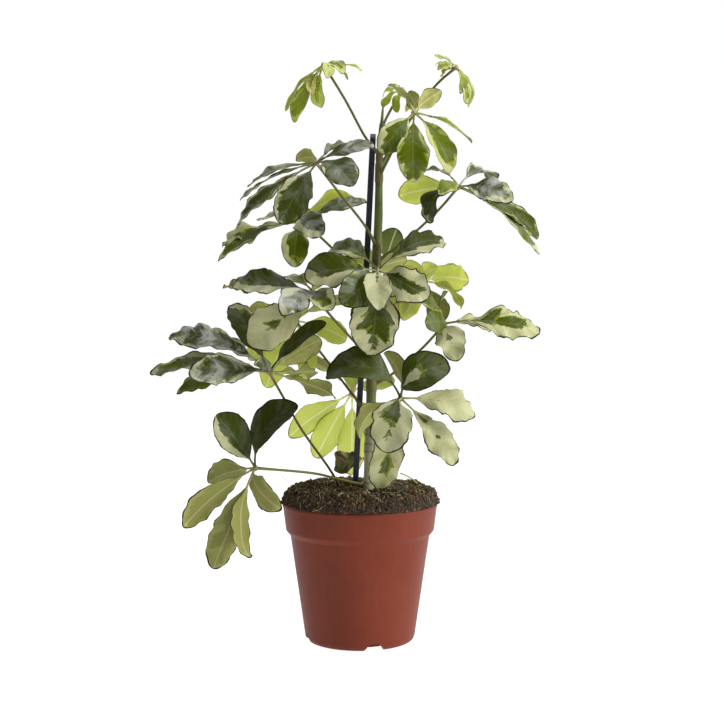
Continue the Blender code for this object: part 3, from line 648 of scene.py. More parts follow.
def peat_material():
    """Peat, crumbs, fibres and moss: the tint of each bit is stored on the mesh."""
    g = Graph("damp_peat")
    place = g.place()
    tint = g.output("Color", "Attribute", attribute_name="tint")
    grain = g.noise(place, 1500.0, 4.0, 0.65)
    clump = g.noise(place, 160.0)
    dark = g.mix(g.step(clump, 0.40, 0.62), PEAT_DARK, PEAT_BROWN)
    colour = g.mix(0.75, dark, tint)
    # Pale specks: painted highlights on the peat's grains.
    colour = g.mix(g.step(grain, 0.55, 0.75) * 0.5, colour, PEAT_PAINTED_GLINT)
    normal = g.bump(grain, 0.8, 0.0004)
    return g.end(g.principled(colour, g.range(clump, 0.3, 0.7, 0.80, 0.97), normal))


def stem_material():
    """Green young bark with pale breathing pores and a paler foot, whose paleness is partly painted
    light.
    """
    g = Graph("green_bark")
    place = g.place()
    _, scar, _, _ = g.attribute("scar")
    streaks = g.noise(g.stretch(place, (1.0, 1.0, 0.10)), 420.0, 4.0)
    patches = g.noise(g.stretch(place, (1.0, 1.0, 0.4)), 90.0)
    pore_cells = {"Vector": g.stretch(place, (1.0, 1.0, 0.6)), "Scale": 520.0}
    pores = g.output("Distance", "TexVoronoi", pore_cells)
    colour = g.mix(g.step(patches, 0.35, 0.65), STEM_DARK, STEM_GREEN)
    # Below about 0.2 m the stem turns pale: partly paler bark, partly painted light.
    colour = g.mix(g.step(g.parts(place)[2], 0.21, 0.12) * 0.9, colour, STEM_FOOT_AND_PAINTED_LIGHT)
    colour = g.mix(g.step(streaks, 0.5, 0.7) * 0.30, colour, STEM_STREAK)
    colour = g.mix(g.step(pores, 0.17, 0.10) * 0.5, colour, STEM_PORE)
    colour = g.mix(scar * 0.6, colour, STEM_SCAR)
    normal = g.bump(streaks + pores * -0.6, 0.4)
    roughness = g.range(streaks, 0.3, 0.7, 0.40, 0.58)
    return g.end(g.principled(colour, roughness, normal, Specular_IOR_Level=0.25))


def cane_material():
    """Split bamboo dyed blue-black, with fibres along it."""
    g = Graph("dyed_bamboo")
    place = g.place()
    fibres = g.noise(g.stretch(place, (1.0, 1.0, 0.02)), 1300.0, 4.0)
    worn = g.noise(g.stretch(place, (1.0, 1.0, 0.2)), 130.0)
    colour = g.mix(g.step(fibres, 0.40, 0.66), CANE_DARK, CANE_BLUE)
    colour = g.mix(g.step(worn, 0.60, 0.72) * 0.35, colour, CANE_WORN)
    return g.end(g.principled(colour, g.range(fibres, 0.3, 0.7, 0.36, 0.55), g.bump(fibres, 0.5, 0.0002)))


class Skin:
    """Points, faces and stored values of a mesh while it is being built."""

    def __init__(self, *names):
        self.points = []
        self.faces = []
        self.slots = []
        self.values = {name: [] for name in names}

    def point(self, place, **values):
        self.points.append(Vector(place) * MM)
        for name, kept in self.values.items():
            kept.extend(values.get(name, (0.0, 0.0, 0.0)))
        return len(self.points) - 1

    def face(self, corners, slot=0):
        self.faces.append(tuple(corners))
        self.slots.append(slot)

    def join(self, low, high, slot=0):
        """Faces between two closed rings with as many points."""
        for n, first in enumerate(low):
            after = (n + 1) % len(low)
            self.face((first, low[after], high[after], high[n]), slot)

    def loft(self, rings, slot=0):
        """A closed body through rings that each have as many points."""
        for low, high in zip(rings, rings[1:]):
            self.join(low, high, slot)
        self.face(rings[0], slot)
        self.face(rings[-1], slot)

    def build(self, name, materials):
        mesh = bpy.data.meshes.new(name)
        mesh.from_pydata(self.points, [], self.faces)
        for stored, numbers in self.values.items():
            mesh.attributes.new(stored, "FLOAT_VECTOR", "POINT").data.foreach_set("vector", numbers)
        mesh.polygons.foreach_set("material_index", self.slots)
        bm = bmesh.new()
        bm.from_mesh(mesh)
        bmesh.ops.recalc_face_normals(bm, faces=bm.faces)
        bm.to_mesh(mesh)
        bm.free()
        return place_piece(name, mesh, materials)


def show(name, data):
    """A new object in the scene."""
    made = bpy.data.objects.new(name, data)
    bpy.context.scene.collection.objects.link(made)
    return made


def place_piece(name, mesh, materials):
    for used in materials:
        mesh.materials.append(used)
    made = show(name, mesh)
    mesh.shade_smooth()
    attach(made, "root")
    return made


def between(first, second, share):
    return first + (second - first) * share


def on_circle(radius, turn):
    return radius * math.cos(turn), radius * math.sin(turn)


def turns(count):
    return [math.tau * k / count for k in range(count)]


def clamp(value):
    return min(1.0, max(0.0, value))


def noise_at(x, y, z):
    return noise.noise(Vector((x, y, z)))


def peak(distance, width):
    """1 at no distance, and close to 0 beyond twice the width."""
    return math.exp(-((distance / width) ** 2))


def smooth_line(points, steps):
    """Points along a Catmull-Rom curve through the given points."""
    points = [Vector(p) for p in points]
    line = [points[0] * 2 - points[1], *points, points[-1] * 2 - points[-2]]
    found = []
    for a, b, c, d in zip(line, line[1:], line[2:], line[3:]):
        for step in range(steps):
            t = step / steps
            found.append(
                (b * 2 + (c - a) * t + (a * 2 - b * 5 + c * 4 - d) * t**2
                 + (b * 3 - a - c * 3 + d) * t**3) / 2
            )
    return [*found, points[-1]]


def stem_at(height):
    """(centre, radius) of the stem at a height."""
    for (low, low_radius), (high, high_radius) in zip(STEM, STEM[1:]):
        if height <= high[2]:
            break
    share = (height - low[2]) / (high[2] - low[2])
    return between(Vector(low), Vector(high), share), between(low_radius, high_radius, share)


def tube(skin, line, radii, sides, slot=0, values=None):
    """A closed round tube along a line. values gives what to store at a share of its length."""
    side = None
    rings = []
    travelled = 0.0
    for n, (centre, radius) in enumerate(zip(line, radii)):
        ahead = line[min(n + 1, len(line) - 1)] - line[max(n - 1, 0)]
        ahead.normalize()
        if side is None:
            side = ahead.orthogonal()
        side = (side - ahead * side.dot(ahead)).normalized()
        other = ahead.cross(side)
        travelled += (centre - line[n - 1]).length if n else 0.0
        ring = []
        for turn in turns(sides):
            place = centre + (side * math.cos(turn) + other * math.sin(turn)) * radius
            stored = values(n / (len(line) - 1), turn, travelled) if values else {}
            ring.append(skin.point(place, **stored))
        rings.append(ring)
    skin.loft(rings, slot)


def blade_half_width(share, width):
    """Half the width at a share of the blade's length: wedge-shaped foot, rounded end."""
    if share < BLADE_FULLEST:
        swell = math.sin(math.pi / 2 * share / BLADE_FULLEST) ** 1.1
    else:
        swell = math.sqrt(max(0.0, 1 - ((share - BLADE_FULLEST) / (1 - BLADE_FULLEST)) ** 2))
    return max(swell * width / 2, BLADE_TIP)


def upper_side(chord, turn):
    """The direction that a leaflet's upper side faces, square to its chord."""
    along = chord.normalized()
    front = Vector((0, -1, 0)) + along * along.y
    front.normalize()
    side = along.cross(front)
    if side.z < 0:
        side.negate()
    turn = math.radians(turn)
    return front * math.cos(turn) + side * math.sin(turn)


def blade_stations():
    """Shares of a leaflet's length, with the rows close together round its end."""
    foot = [BLADE_FULLEST * n / FOOT_ROWS for n in range(1, FOOT_ROWS)]
    end = [
        between(BLADE_FULLEST, 1.0, math.sin(math.pi / 2 * n / END_ROWS))
        for n in range(END_ROWS + 1)
    ]
    return [*STALK_STATIONS, *(between(STALK_SHARE, 1.0, share) for share in (*foot, *end))]


def tip_share(share):
    """0 up to the last part of a blade, and 1 at its tip."""
    return max(0.0, share - TIP_START) / (1 - TIP_START)


def rim_measure(share, u):
    """0 on the midrib and 1 on the outline."""
    end = max(0.0, share - BLADE_FULLEST) / (1 - BLADE_FULLEST)
    return min(1.0, (u**4 + end**6) ** 0.25)


class Blade:
    """The form of one leaflet. u runs from -1 to 1 across it, and share from 0 to 1 along it."""

    def __init__(self, spec, draw, detail):
        """draw repeats the source's draws, and detail makes those of the finer form."""
        broad = min(1.0, spec.width / 20)
        self.spec = spec
        self.length = Vector(spec.tip).length
        self.phase = draw.uniform(0, math.tau)
        self.lift = math.tan(math.radians(draw.uniform(4, 16)))
        self.seed = detail.uniform(0, 900)
        self.curl = detail.uniform(-0.5, 3.0)
        self.sway = detail.uniform(-0.9, 0.9) * (0.6 + spec.wave)
        self.ruffle_phase = detail.uniform(0, math.tau)
        self.ruffle = (0.35 + 0.45 * spec.wave) * broad * detail.uniform(0.6, 1.3)
        self.ruffle_length = detail.uniform(2.0, 2.9)
        self.rolled = detail.uniform(-0.6, 1.5) * broad
        self.pointed = detail.uniform(0.0, 0.22)
        evenness = min(1.0, 0.3 + 2.5 * max(0.0, spec.cream))  # an all-green leaflet has a smooth edge
        age = max(1.5 - 0.9 * spec.tone, 0.3 * spec.wave) * evenness
        self.ruffle *= age
        self.raggedness = (0.10 + 0.07 * spec.wave) * age
        self.quilting = 0.12 + 0.35 * spec.gloss
        self.soft = clamp((22 - spec.width) / 10) * spec.tone
        lit = max(0.35, min(1.0, (spec.turn - 100) / 40)) * max(0.0, spec.tone - 0.6) / 0.4
        self.lit = (lit, 0, 0)
        self.threshold = 1.16 - 1.12 * spec.cream if spec.cream else 3.0

    def half_width(self, station, share):
        if share <= 0:
            return between(STALK_RADIUS * 1.25, STALK_RADIUS, station / STALK_SHARE)
        half = blade_half_width(share, self.spec.width) * (1 - self.pointed * tip_share(share) ** 1.5)
        return max(half, BLADE_TIP, STALK_RADIUS * (1 - share * 6))

    def across(self, u, y, half, grip):
        """Distance from the midrib, with the ragged edge."""
        ragged = noise_at(y * 0.12, 9.0 * (u > 0), self.seed)
        ragged += 0.4 * noise_at(y * 0.32, 5.0 * (u > 0), self.seed)
        return u * half * (1 + self.raggedness * ragged * grip * abs(u))

    def rise(self, u, x, y, share, half, grip, flat):
        """Height over the midline: the fold along the rib, waves, ruffles, quilting and dents."""
        run = y - VEIN_SLANT * abs(x)
        fold = (math.sqrt(u * u + 0.03) - 0.173) / 0.842
        turn = math.tau * WAVES_PER_BLADE * max(share, 0) + self.phase
        edge_wave = math.sin(turn) if u < 0 else math.cos(turn)
        ruffle_wave = math.sin(run / self.ruffle_length + self.ruffle_phase + (u > 0) * 2)
        veins = math.cos(math.tau * run / VEIN_SPACING)
        rise = half * self.lift * fold * flat
        rise += self.spec.wave * grip * edge_wave * abs(u) ** 1.3 * flat
        rise += self.ruffle * grip * abs(u) ** 2.5 * ruffle_wave
        rise -= self.rolled * grip * u**4
        rise += self.quilting * grip * flat * (1 - abs(u)) * abs(u) * 4 * veins
        rise += DENTS * grip * flat * noise_at(x * 0.11, y * 0.09, self.seed)
        return rise

    def look(self, u, share):
        """(cream margin, tone, 0 on the midrib to 1 on the outline)."""
        measure = rim_measure(share, u)
        leant = self.spec.lean * u * (0.4 + 0.6 * clamp(share * 3))
        margin = measure + leant - self.threshold
        if self.spec.cream < 0:
            margin = -self.spec.cream - 1.4 * measure
        return margin, self.spec.tone, measure if share > 0 else 0.0

    def section(self, skin, station, centre, side, normal):
        """The points of one ring: its upper face and then its underside, back across."""
        share = (station - STALK_SHARE) / (1 - STALK_SHARE)
        half = self.half_width(station, share)
        grip = min(1.0, half / (self.spec.width / 4)) if share > 0 else 0.0
        flat = clamp(share * 7)
        y = station * self.length
        bend = normal * self.curl * tip_share(share) ** 2
        centre = centre - bend + side * self.sway * math.sin(math.pi * station)
        upper, lower = [], []
        for k in range(ACROSS):
            u = math.sin(math.pi / 2 * (2 * k / (ACROSS - 1) - 1))
            x = self.across(u, y, half, grip)
            rise = self.rise(u, x, y, share, half, grip, flat)
            round_half = math.sqrt(max(0.0, 1 - u * u)) * half
            blade_half = BLADE_THICKNESS / 2 * (1 - 0.35 * u**4)
            rib = RIB_HEIGHT * (1 - clamp(share)) * peak(x, 0.75)
            groove = GROOVE_DEPTH * peak(x, 0.5)
            top = between(round_half, blade_half - groove, flat)
            bottom = between(round_half, blade_half + rib, flat)
            stored = {
                "vein_place": (x, y - VEIN_SLANT * abs(x), self.seed),
                "leaf_look": self.look(u, share),
                "leaf_lit": self.lit,
            }
            for ring, offset, is_upper in ((upper, top, 1.0), (lower, -bottom, 0.0)):
                place = centre + side * x + normal * (rise + offset)
                ring.append(skin.point(place, leaf_side=(is_upper, self.spec.gloss, self.soft), **stored))
        return upper + lower[::-1]


def add_leaflet(skin, hub, spec, draw, detail):
    """A blade along an arch from the hub to the leaflet's tip."""
    blade = Blade(spec, draw, detail)
    chord = Vector(spec.tip)
    up = upper_side(chord, spec.turn)
    crest = chord / 2 + up * spec.arch * 2
    rings = []
    for station in blade_stations():
        centre = crest * 2 * station * (1 - station) + chord * station**2
        tangent = (crest * (1 - 2 * station) + chord * station).normalized()
        normal = (up - tangent * up.dot(tangent)).normalized()
        side = tangent.cross(normal)
        rings.append(blade.section(skin, station, Vector(hub) + centre, side, normal))
    skin.loft(rings)


def add_hub(skin, hub):
    """The knuckle where the leaflets meet: an uneven ball."""
    rows, sides = HUB_GRID
    hub = Vector(hub)
    rings = []
    for row in range(1, rows):
        polar = math.pi * row / rows
        ring = []
        for k, turn in enumerate(turns(sides)):
            way = Vector((*on_circle(math.sin(polar), turn), math.cos(polar)))
            size = HUB_RADIUS * (1 + HUB_LUMPS * noise.noise(way * 2.3 + hub * 0.1))
            stored = {"vein_place": (k, row * 2, hub.x), "leaf_look": (1, 0, 0)}
            ring.append(skin.point(hub + way * size, **stored))
        rings.append(ring)
    skin.loft(rings, 1)


def make_leaf(leaf, materials):
    """A stalk from the stem or the peat to its hub, and the hub's leaflets."""
    skin = Skin("vein_place", "leaf_look", "leaf_side", "leaf_lit")
    draw = random.Random(leaf.name)
    detail = random.Random(leaf.name + "_detail")
    in_peat = isinstance(leaf.root, tuple)
    root = Vector(leaf.root) if in_peat else stem_at(leaf.root)[0]
    line = smooth_line([root, *leaf.via, leaf.hub], PETIOLE_STEPS)
    count = len(line) - 1
    radii = []
    for n in range(count + 1):
        flare = 0.0 if in_peat else math.exp(-((n / count * 7.0) ** 1.5))
        knuckle = peak((count - n) / count, 1 / 14)
        radii.append(between(PETIOLE_RADIUS * 0.95, PETIOLE_BASE_RADIUS, flare) + 0.35 * knuckle)
    paleness = 0.65 if leaf.hub[2] < LOW_HUB else 0.1

    def stored(share, turn, travelled):
        tan = 0.8 * peak(1 - share, 1 / 14) + (0.0 if in_peat else 0.5 * peak(share, 1 / 18))
        place = (turn * PETIOLE_RADIUS, travelled, leaf.hub[0])
        return {"vein_place": place, "leaf_look": (tan, paleness, 0)}

    tube(skin, line, radii, PETIOLE_SIDES, 1, stored)
    add_hub(skin, leaf.hub)
    for spec in leaf.leaflets:
        add_leaflet(skin, leaf.hub, spec, draw, detail)
    piece = skin.build("foliage_" + leaf.name.removeprefix("leaf_"), materials)
    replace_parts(piece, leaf.name)


def make_stem():
    """The stem, with a swelling and a ring-shaped scar at each leaf."""
    skin = Skin("scar")
    nodes = [leaf.root for leaf in LEAVES if not isinstance(leaf.root, tuple)]
    low, high = STEM[0][0][2], STEM[-1][0][2]
    heights = [between(low, high, n / STEM_ROWS) for n in range(STEM_ROWS + 1)]
    radii = []
    scars = []
    for height in heights:
        near = min(abs(height - node) for node in nodes)
        swell = NODE_SWELLING * peak(near, NODE_LENGTH) + 0.22 * peak(near - SCAR_OFFSET, 0.9)
        wander = 0.10 * noise_at(0, 0, height * 0.08)
        radii.append(stem_at(height)[1] + swell + wander)
        scars.append(peak(near - SCAR_OFFSET, 0.8) + 0.35 * peak(near, 4.0))

    def stored(share, turn, travelled):
        return {"scar": (scars[round(share * STEM_ROWS)], 0, 0)}

    tube(skin, [stem_at(height)[0] for height in heights], radii, STEM_SIDES, 0, stored)
    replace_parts(skin.build("stem_bark", [stem_material()]), "stem")


def make_cane():
    """A stick with an oblong section, soft edges and fibres that run along it."""
    skin = Skin()
    foot, top = Vector(CANE_FOOT), Vector(CANE_TOP)
    run = top - foot
    turn = run.to_track_quat("Z", "Y").to_matrix()
    rings = []
    rows, sides = CANE_GRID
    for row in range(rows + 1):
        share = row / rows
        ring = []
        for k, angle in enumerate(turns(sides)):
            wide, deep = (
                math.copysign(abs(way) ** CANE_CORNER, way) * size / 2
                for way, size in zip(on_circle(1.0, angle), CANE_SIZE)
            )
            rough = 1 + CANE_ROUGH * noise_at(k * 1.7, share * 9, 3)
            chamfer = CANE_CHAMFER if row in (0, rows) else 1.0
            offset = turn @ Vector((wide, deep, 0)) * rough * chamfer
            ring.append(skin.point(foot + run * share + offset))
        rings.append(ring)
    skin.loft(rings)
    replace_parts(skin.build("cane_stick", [cane_material()]), "cane")


def rounded(profile, radius, steps=3):
    """The profile with each inner corner turned into a short arc."""
    found = [profile[0]]
    for before, corner, after in zip(profile, profile[1:], profile[2:]):
        corner = Vector(corner)
        back, ahead = Vector(before) - corner, Vector(after) - corner
        reach = min(radius, back.length * 0.45, ahead.length * 0.45)
        start, end = corner + back.normalized() * reach, corner + ahead.normalized() * reach
        for step in range(steps + 1):
            t = step / steps
            found.append(tuple(start * (1 - t) ** 2 + corner * 2 * t * (1 - t) + end * t**2))
    return [*found, profile[-1]]


def inner_wall(height):
    """Radius of the pot's inner face at a height under the band."""
    shoulder = POT_HEIGHT - BAND_HEIGHT - SHOULDER
    top = RIM_RADIUS - BAND_TAPER - SHOULDER
    return between(BASE_RADIUS, top, height / shoulder) - WALL


def pot_profile():
    """Up the inside and down the outside, as (radius, height)."""
    shoulder = POT_HEIGHT - BAND_HEIGHT - SHOULDER
    band_foot = POT_HEIGHT - BAND_HEIGHT
    band_radius = RIM_RADIUS - BAND_TAPER
    inside = GUTTER_HEIGHT + FLOOR
    return (
        (0, FLOOR),
        (GUTTER_INNER - 1.0 - FLOOR, FLOOR),
        (GUTTER_INNER - FLOOR, inside),
        (inner_wall(inside), inside),
        (inner_wall(shoulder + 0.6), shoulder + 0.6),
        (band_radius - WALL, band_foot + 0.6),
        (RIM_RADIUS - WALL, POT_HEIGHT - 0.4),
        (RIM_RADIUS - WALL + 0.4, POT_HEIGHT),
        (RIM_RADIUS - 0.3, POT_HEIGHT),
        (RIM_RADIUS, POT_HEIGHT - 0.5),
        (RIM_RADIUS, POT_HEIGHT - LIP_HEIGHT),
        (RIM_RADIUS - 0.5, POT_HEIGHT - LIP_HEIGHT - 0.4),
        (band_radius, band_foot + 1.0),
        (band_radius - 0.6, band_foot),
        (band_radius - SHOULDER, shoulder),
        (BASE_RADIUS + 0.6, 4.0),
        (BASE_RADIUS - 0.4, 1.3),
        (BASE_RADIUS - 2.0, 0),
        (FOOT_INNER, 0),
        (FOOT_INNER - 0.6, GUTTER_HEIGHT),
        (GUTTER_INNER + 0.6, GUTTER_HEIGHT),
        (GUTTER_INNER, 0),
        (0, 0),
    )


def notch_cutter(turn):
    bm = bmesh.new()
    bmesh.ops.create_cube(bm, size=1.0)
    reach = BASE_RADIUS - FOOT_INNER + 2 * NOTCH_SPARE
    middle = (BASE_RADIUS + FOOT_INNER) / 2
    for vert in bm.verts:
        wide = NOTCH_TOP if vert.co.z > 0 else NOTCH_FOOT
        high = NOTCH_HEIGHT if vert.co.z > 0 else -NOTCH_SPARE
        vert.co = Vector((middle + vert.co.x * reach, vert.co.y * wide, high)) * MM
    bmesh.ops.rotate(bm, verts=bm.verts, matrix=Matrix.Rotation(turn, 3, "Z"))
    return bm


def drain_cutter(turn):
    bm = bmesh.new()
    size = DRAIN_RADIUS * MM
    bmesh.ops.create_cone(bm, cap_ends=True, segments=32, depth=6 * MM, radius1=size, radius2=size)
    out = (GUTTER_INNER + FOOT_INNER) / 2
    place = Vector((*on_circle(out, turn), GUTTER_HEIGHT + FLOOR / 2)) * MM
    bmesh.ops.translate(bm, verts=bm.verts, vec=place)
    return bm


def new_object(name, bm):
    bmesh.ops.recalc_face_normals(bm, faces=bm.faces)
    mesh = bpy.data.meshes.new(name)
    bm.to_mesh(mesh)
    bm.free()
    return show(name, mesh)


def applied_mesh(thing):
    bpy.context.view_layer.update()
    graph = bpy.context.evaluated_depsgraph_get()
    return bpy.data.meshes.new_from_object(thing.evaluated_get(graph))


def make_pot():
    """The profile turned round, with a notch and a drain hole at four places."""
    bm = bmesh.new()
    profile = rounded(pot_profile(), CORNER_RADIUS)
    verts = [bm.verts.new((radius * MM, 0, height * MM)) for radius, height in profile]
    for first, second in zip(verts, verts[1:]):
        bm.edges.new((first, second))
    guide = new_object("pot_guide", bm)
    screw = guide.modifiers.new("turn", "SCREW")
    screw.steps = screw.render_steps = POT_STEPS
    screw.use_merge_vertices = True
    screw.merge_threshold = 0.01 * MM
    cutters = []
    for number in range(NOTCH_COUNT):
        turn = math.radians(NOTCH_TURN + number * 360 / NOTCH_COUNT)
        for make in (notch_cutter, drain_cutter):
            cutter = new_object("pot_cutter", make(turn))
            cut = guide.modifiers.new("cut", "BOOLEAN")
            cut.operation = "DIFFERENCE"
            cut.solver = "EXACT"
            cut.object = cutter
            cutters.append(cutter)
    mesh = applied_mesh(guide)
    for thing in (guide, *cutters):
        bpy.data.objects.remove(thing)
    pot = place_piece("nursery_pot", mesh, [plastic_material()])
    mesh.set_sharp_from_angle(angle=math.radians(40))
    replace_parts(pot, "pot")


def dome(x, y):
    """Height of the peat's surface, with its clods."""
    share = min(math.hypot(x, y) / DOME_RADIUS, 1.0)
    clods = math.sin(x * 0.31 + 1.0) * math.cos(y * 0.27) + math.sin(x * 0.12 - y * 0.17)
    return POT_HEIGHT + GAP + (DOME_HEIGHT + CLOD * clods) * (1 - share**DOME_POWER)


def lumps(x, y, scale, layer):
    return noise_at(x * scale, y * scale, layer)


def peat_height(x, y):
    rough = noise.fractal(Vector((x * 0.16, y * 0.16, 4.0)), 0.8, 2.1, 4)
    clods = abs(lumps(x, y, 0.33, 2.0)) - 0.2
    return dome(x, y) + ROUGHNESS * rough - CREASES * clods + FINE_LUMPS * lumps(x, y, 0.9, 8.0)


def make_peat_surface(material):
    """The whole body of peat: a rough dome on a plug that fills the pot."""
    skin = Skin("tint")
    shoulder = POT_HEIGHT - BAND_HEIGHT - SHOULDER
    inside = GUTTER_HEIGHT + FLOOR + GAP
    plug = (
        (DOME_RADIUS, POT_HEIGHT + GAP),
        (RIM_RADIUS - WALL - GAP, POT_HEIGHT + GAP),
        (RIM_RADIUS - WALL - GAP, POT_HEIGHT - 0.4),
        (RIM_RADIUS - BAND_TAPER - WALL - GAP, POT_HEIGHT - BAND_HEIGHT + 0.6),
        (inner_wall(shoulder + 0.6) - GAP, shoulder + 0.9),
        (inner_wall(inside) - GAP, inside),
        (GUTTER_INNER - FLOOR - GAP, inside),
        (GUTTER_INNER - 1.0 - FLOOR - GAP, FLOOR + GAP),
    )
    rings = []
    for n in range(1, PEAT_RINGS + 1):
        radius = DOME_RADIUS * math.sin(math.pi / 2 * n / PEAT_RINGS)
        ring = []
        for turn in turns(PEAT_SPOKES):
            uneven = 0.012 * (radius / DOME_RADIUS) ** 8 * noise_at(turn * 9, 1, 2)
            x, y = on_circle(radius * (1 + uneven), turn)
            height = max(peat_height(x, y), POT_HEIGHT + GAP)
            ring.append(skin.point((x, y, height), tint=PEAT_TINT_AND_PAINTED_SHADE))
        rings.append(ring)
    for radius, height in plug:
        places = [(*on_circle(radius, turn), height) for turn in turns(PEAT_SPOKES)]
        rings.append([skin.point(place, tint=PEAT_TINT_AND_PAINTED_SHADE) for place in places])
    skin.loft(rings)
    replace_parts(skin.build("peat", [material]), "soil")


def on_peat(draw, reach=DOME_RADIUS + 0.6):
    """A place on the peat, as likely anywhere on its area."""
    radius = reach * math.sqrt(draw.random())
    return on_circle(radius, draw.uniform(0, math.tau))


def in_band(draw, band):
    """A place between two radii."""
    turn = draw.uniform(0, math.tau)
    return on_circle(draw.uniform(*band), turn)


def pick(draw, kinds, x, y):
    """One of the kinds: the first half of them mostly in warm patches, the rest in dark ones."""
    patch = lumps(x, y, 0.055, 6.0) * 1.6 + draw.uniform(-0.5, 0.5)
    half = len(kinds) // 2
    return draw.choice(kinds[:half] if patch > 0 else kinds[half:])


def ground(x, y):
    """The peat's height, and that of its shoulder beyond the rim."""
    return max(peat_height(x, y), POT_HEIGHT + GAP + 0.3)


CRUMB = (  # a ball of twenty triangles: its top, two rings of five corners and its foot
    (0, 0, 1), (0.89, 0, 0.45), (0.28, 0.85, 0.45), (-0.72, 0.53, 0.45), (-0.72, -0.53, 0.45),
    (0.28, -0.85, 0.45), (0.72, 0.53, -0.45), (-0.28, 0.85, -0.45), (-0.89, 0, -0.45),
    (-0.28, -0.85, -0.45), (0.72, -0.53, -0.45), (0, 0, -1),
)


def add_crumb(skin, x, y, size, tint, draw, lift=0.25):
    """A bent and turned ball. Its middle is lift times its size over the peat."""
    first = len(skin.points)
    spin = Matrix.Rotation(draw.uniform(0, math.tau), 3, "Z")
    spin @= Matrix.Rotation(draw.uniform(0, math.tau), 3, "X")
    shape = Vector((draw.uniform(0.6, 1.4), draw.uniform(0.6, 1.2), draw.uniform(0.5, 1.0)))
    middle = Vector((x, y, ground(x, y) + size * lift))
    for corner in CRUMB:
        bent = Vector(corner) * draw.uniform(0.5, 1.4)
        offset = spin @ Vector((bent.x * shape.x, bent.y * shape.y, bent.z * shape.z))
        skin.point(middle + offset * size, tint=tint)
    for n in range(5):
        high, low = first + 1 + n, first + 6 + n
        next_high, next_low = first + 1 + (n + 1) % 5, first + 6 + (n + 1) % 5
        skin.face((first, high, next_high))
        skin.face((high, low, next_high))
        skin.face((next_high, low, next_low))
        skin.face((first + 11, next_low, low))


def make_crumbs(material):
    """Crumbs all over the peat and thick at the rim, a few clods and some chips of bark."""
    skin = Skin("tint")
    draw = random.Random("crumbs")
    for _ in range(CRUMBS):
        x, y = on_peat(draw)
        size = draw.choice(CRUMB_SIZES) * draw.uniform(0.8, 1.3)
        add_crumb(skin, x, y, size, pick(draw, TINTS, x, y), draw)
    for _ in range(RIM_CRUMBS):
        x, y = in_band(draw, RIM_CRUMB_BAND)
        add_crumb(skin, x, y, draw.choice(RIM_CRUMB_SIZES), draw.choice(TINTS[:4]), draw, 0.5)
    for _ in range(CLODS):
        x, y = in_band(draw, CLOD_BAND)
        add_crumb(skin, x, y, draw.uniform(1.0, 1.9), draw.choice(TINTS[1:5]), draw, 0.8)
    for x, y, size in BARK:
        add_crumb(skin, x, y, size, BARK_TINT, draw, 0.1)
    skin.build("peat_crumbs", [material])


def add_fibre(skin, line, radius, tint):
    radii = [radius] * (len(line) - 1) + [radius * 0.5]
    tube(skin, line, radii, 4, 0, lambda share, turn, travelled: {"tint": tint})


def make_fibres(material):
    """Roots and peat fibres that lie on the surface, bowed a little off it."""
    skin = Skin("tint")
    draw = random.Random("fibres")
    for _ in range(FIBRES):
        x, y = on_peat(draw, DOME_RADIUS - 2.0)
        turn = draw.uniform(0, math.tau)
        length = draw.choice(FIBRE_LENGTHS) * draw.uniform(0.7, 1.2)
        bend = draw.uniform(-0.9, 0.9)
        bow = draw.choice(FIBRE_BOWS)
        line = []
        for n in range(FIBRE_STEPS + 1):
            share = n / FIBRE_STEPS
            step = on_circle(length / FIBRE_STEPS, turn + bend * share)
            x += step[0]
            y += step[1]
            line.append(Vector((x, y, ground(x, y) + 0.15 + bow * math.sin(math.pi * share))))
        if math.hypot(x, y) < DOME_RADIUS + 1.5:
            add_fibre(skin, line, *pick(draw, FIBRE_KINDS, x, y))
    for hair in LOOSE_HAIRS:
        add_fibre(skin, smooth_line(hair, 5), *FIBRE_KINDS[3])
    skin.build("peat_fibres", [material])


def make_moss(material):
    """Tufts of little pointed leaves, in patches over the peat."""
    skin = Skin("tint")
    draw = random.Random("moss")
    made = 0
    while made < MOSSES:
        x, y = on_peat(draw, DOME_RADIUS - 1.0)
        if lumps(x, y, 0.07, 21.0) + draw.uniform(-0.3, 0.3) < 0.05:
            continue
        made += 1
        tint = draw.choice(MOSS_TINTS)
        foot = Vector((x, y, ground(x, y) - 0.1))
        for _ in range(MOSS_LEAVES):
            turn = draw.uniform(0, math.tau)
            lean = draw.uniform(0.2, 1.0)
            tip = foot + Vector((*on_circle(lean, turn), draw.uniform(0.9, 2.2)))
            across = Vector((-math.sin(turn), math.cos(turn), 0)) * draw.uniform(0.2, 0.38)
            thick = Vector((*on_circle(0.12, turn), 0))
            middle = between(foot, tip, 0.45)
            sides = (across, thick, -across, -thick)
            base = [skin.point(middle + side, tint=tint) for side in sides]
            low, high = skin.point(foot, tint=tint), skin.point(tip, tint=tint)
            for n in range(4):
                skin.face((low, base[n], base[(n + 1) % 4]))
                skin.face((high, base[(n + 1) % 4], base[n]))
    skin.build("moss_tufts", [material])


def make_litter(petiole):
    """A dead leaflet and a dropped stalk on the peat."""
    dead = Skin("vein_place", "leaf_look", "leaf_side", "leaf_lit")
    add_leaflet(dead, DEAD_HUB, DEAD_LEAFLET, random.Random("dead"), random.Random("dead_detail"))
    dead.build("dead_leaflet", [dead_leaf_material()])
    stalk = Skin("vein_place", "leaf_look")
    line = smooth_line(FALLEN_STALK, 8)
    tube(stalk, line, [0.55] * len(line), 8, 0, lambda share, turn, travelled: {"leaf_look": (0, 1, 0)})
    stalk.build("dropped_stalk", [petiole])


def area_light(name, place, target, size, power):
    data = bpy.data.lights.new(name, "AREA")
    data.shape = "SQUARE"
    data.size = size
    data.energy = power
    light = show(name, data)
    light.location = place
    light.rotation_euler = (Vector(target) - Vector(place)).to_track_quat("-Z", "Y").to_euler()


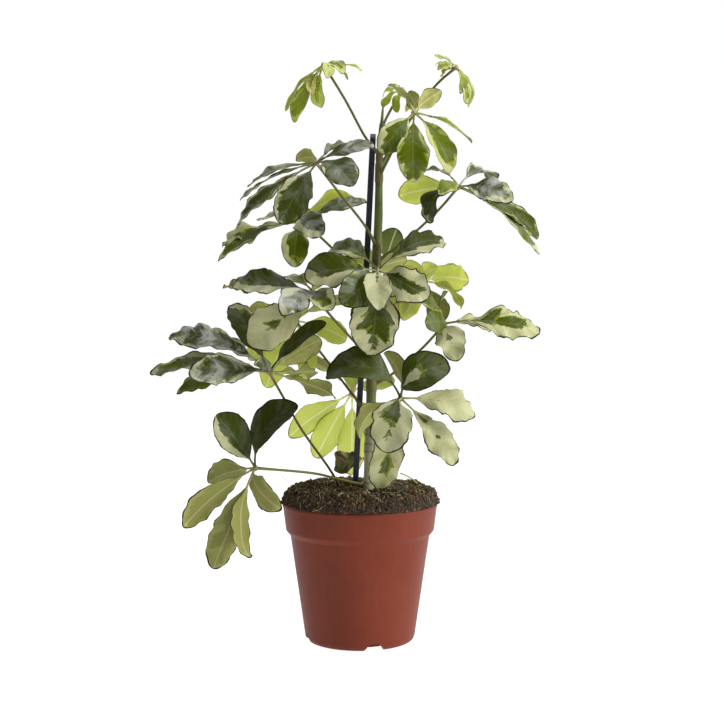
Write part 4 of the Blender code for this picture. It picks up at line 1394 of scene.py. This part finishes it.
def make_backdrop():
    """White where it is seen. As light it is bright behind the plant and dim in front."""
    g = Graph("white_studio", bpy.data.worlds)
    bpy.context.scene.world = g.owner
    ways = {0: g.output("Generated", "TexCoord"), 1: BRIGHT_SIDE}
    towards = g.output("Value", "VectorMath", ways, operation="DOT_PRODUCT")
    light = g.range(towards, -0.3, 0.9, FRONT_LIGHT, BACK_LIGHT)
    strength = g.range(g.output("Is Camera Ray", "LightPath"), 0.0, 1.0, light, 1.0)
    shader = g.output(0, "Background", {"Color": (1, 1, 1, 1), "Strength": strength})
    g.end(shader, "OutputWorld")


def make_studio():
    """A pale floor, a key light from the right and a soft light overhead."""
    make_backdrop()
    for name, place, size, power in LIGHTS:
        area_light(name, place, LIGHT_TARGET, size, power)
    g = Graph("pale_floor")
    white = g.mix(g.noise(g.place(), 30.0, 2.0), FLOOR_DARK, FLOOR_PALE)
    shader = g.principled(white, 0.9, Emission_Color=(1, 1, 1, 1), Emission_Strength=FLOOR_GLOW)
    corners = [(x * FLOOR_REACH, y * FLOOR_REACH, FLOOR_HEIGHT) for x, y in SQUARE]
    mesh = bpy.data.meshes.new("floor")
    mesh.from_pydata(corners, [], [(0, 1, 2, 3)])
    mesh.materials.append(g.end(shader))
    floor = show("floor", mesh)
    bpy.context.scene.view_settings.view_transform = "Standard"


def make_camera():
    """Level with the foliage, about one metre away and tilted a little down."""
    data = bpy.data.cameras.new("camera")
    data.sensor_width = 36.0
    data.lens = CAMERA_LENS
    data.shift_x = CAMERA_SHIFT
    camera = show("camera", data)
    camera.location = CAMERA_PLACE
    camera.rotation_euler = (math.radians(CAMERA_TILT), 0, 0)
    bpy.context.scene.camera = camera


def main():
    make_camera()
    make_studio()
    petiole = petiole_material()
    materials = [leaf_material(), petiole]
    for leaf in LEAVES:
        make_leaf(leaf, materials)
    make_stem()
    make_cane()
    make_pot()
    peat = peat_material()
    make_peat_surface(peat)
    make_crumbs(peat)
    make_fibres(peat)
    make_moss(peat)
    make_litter(petiole)


main()
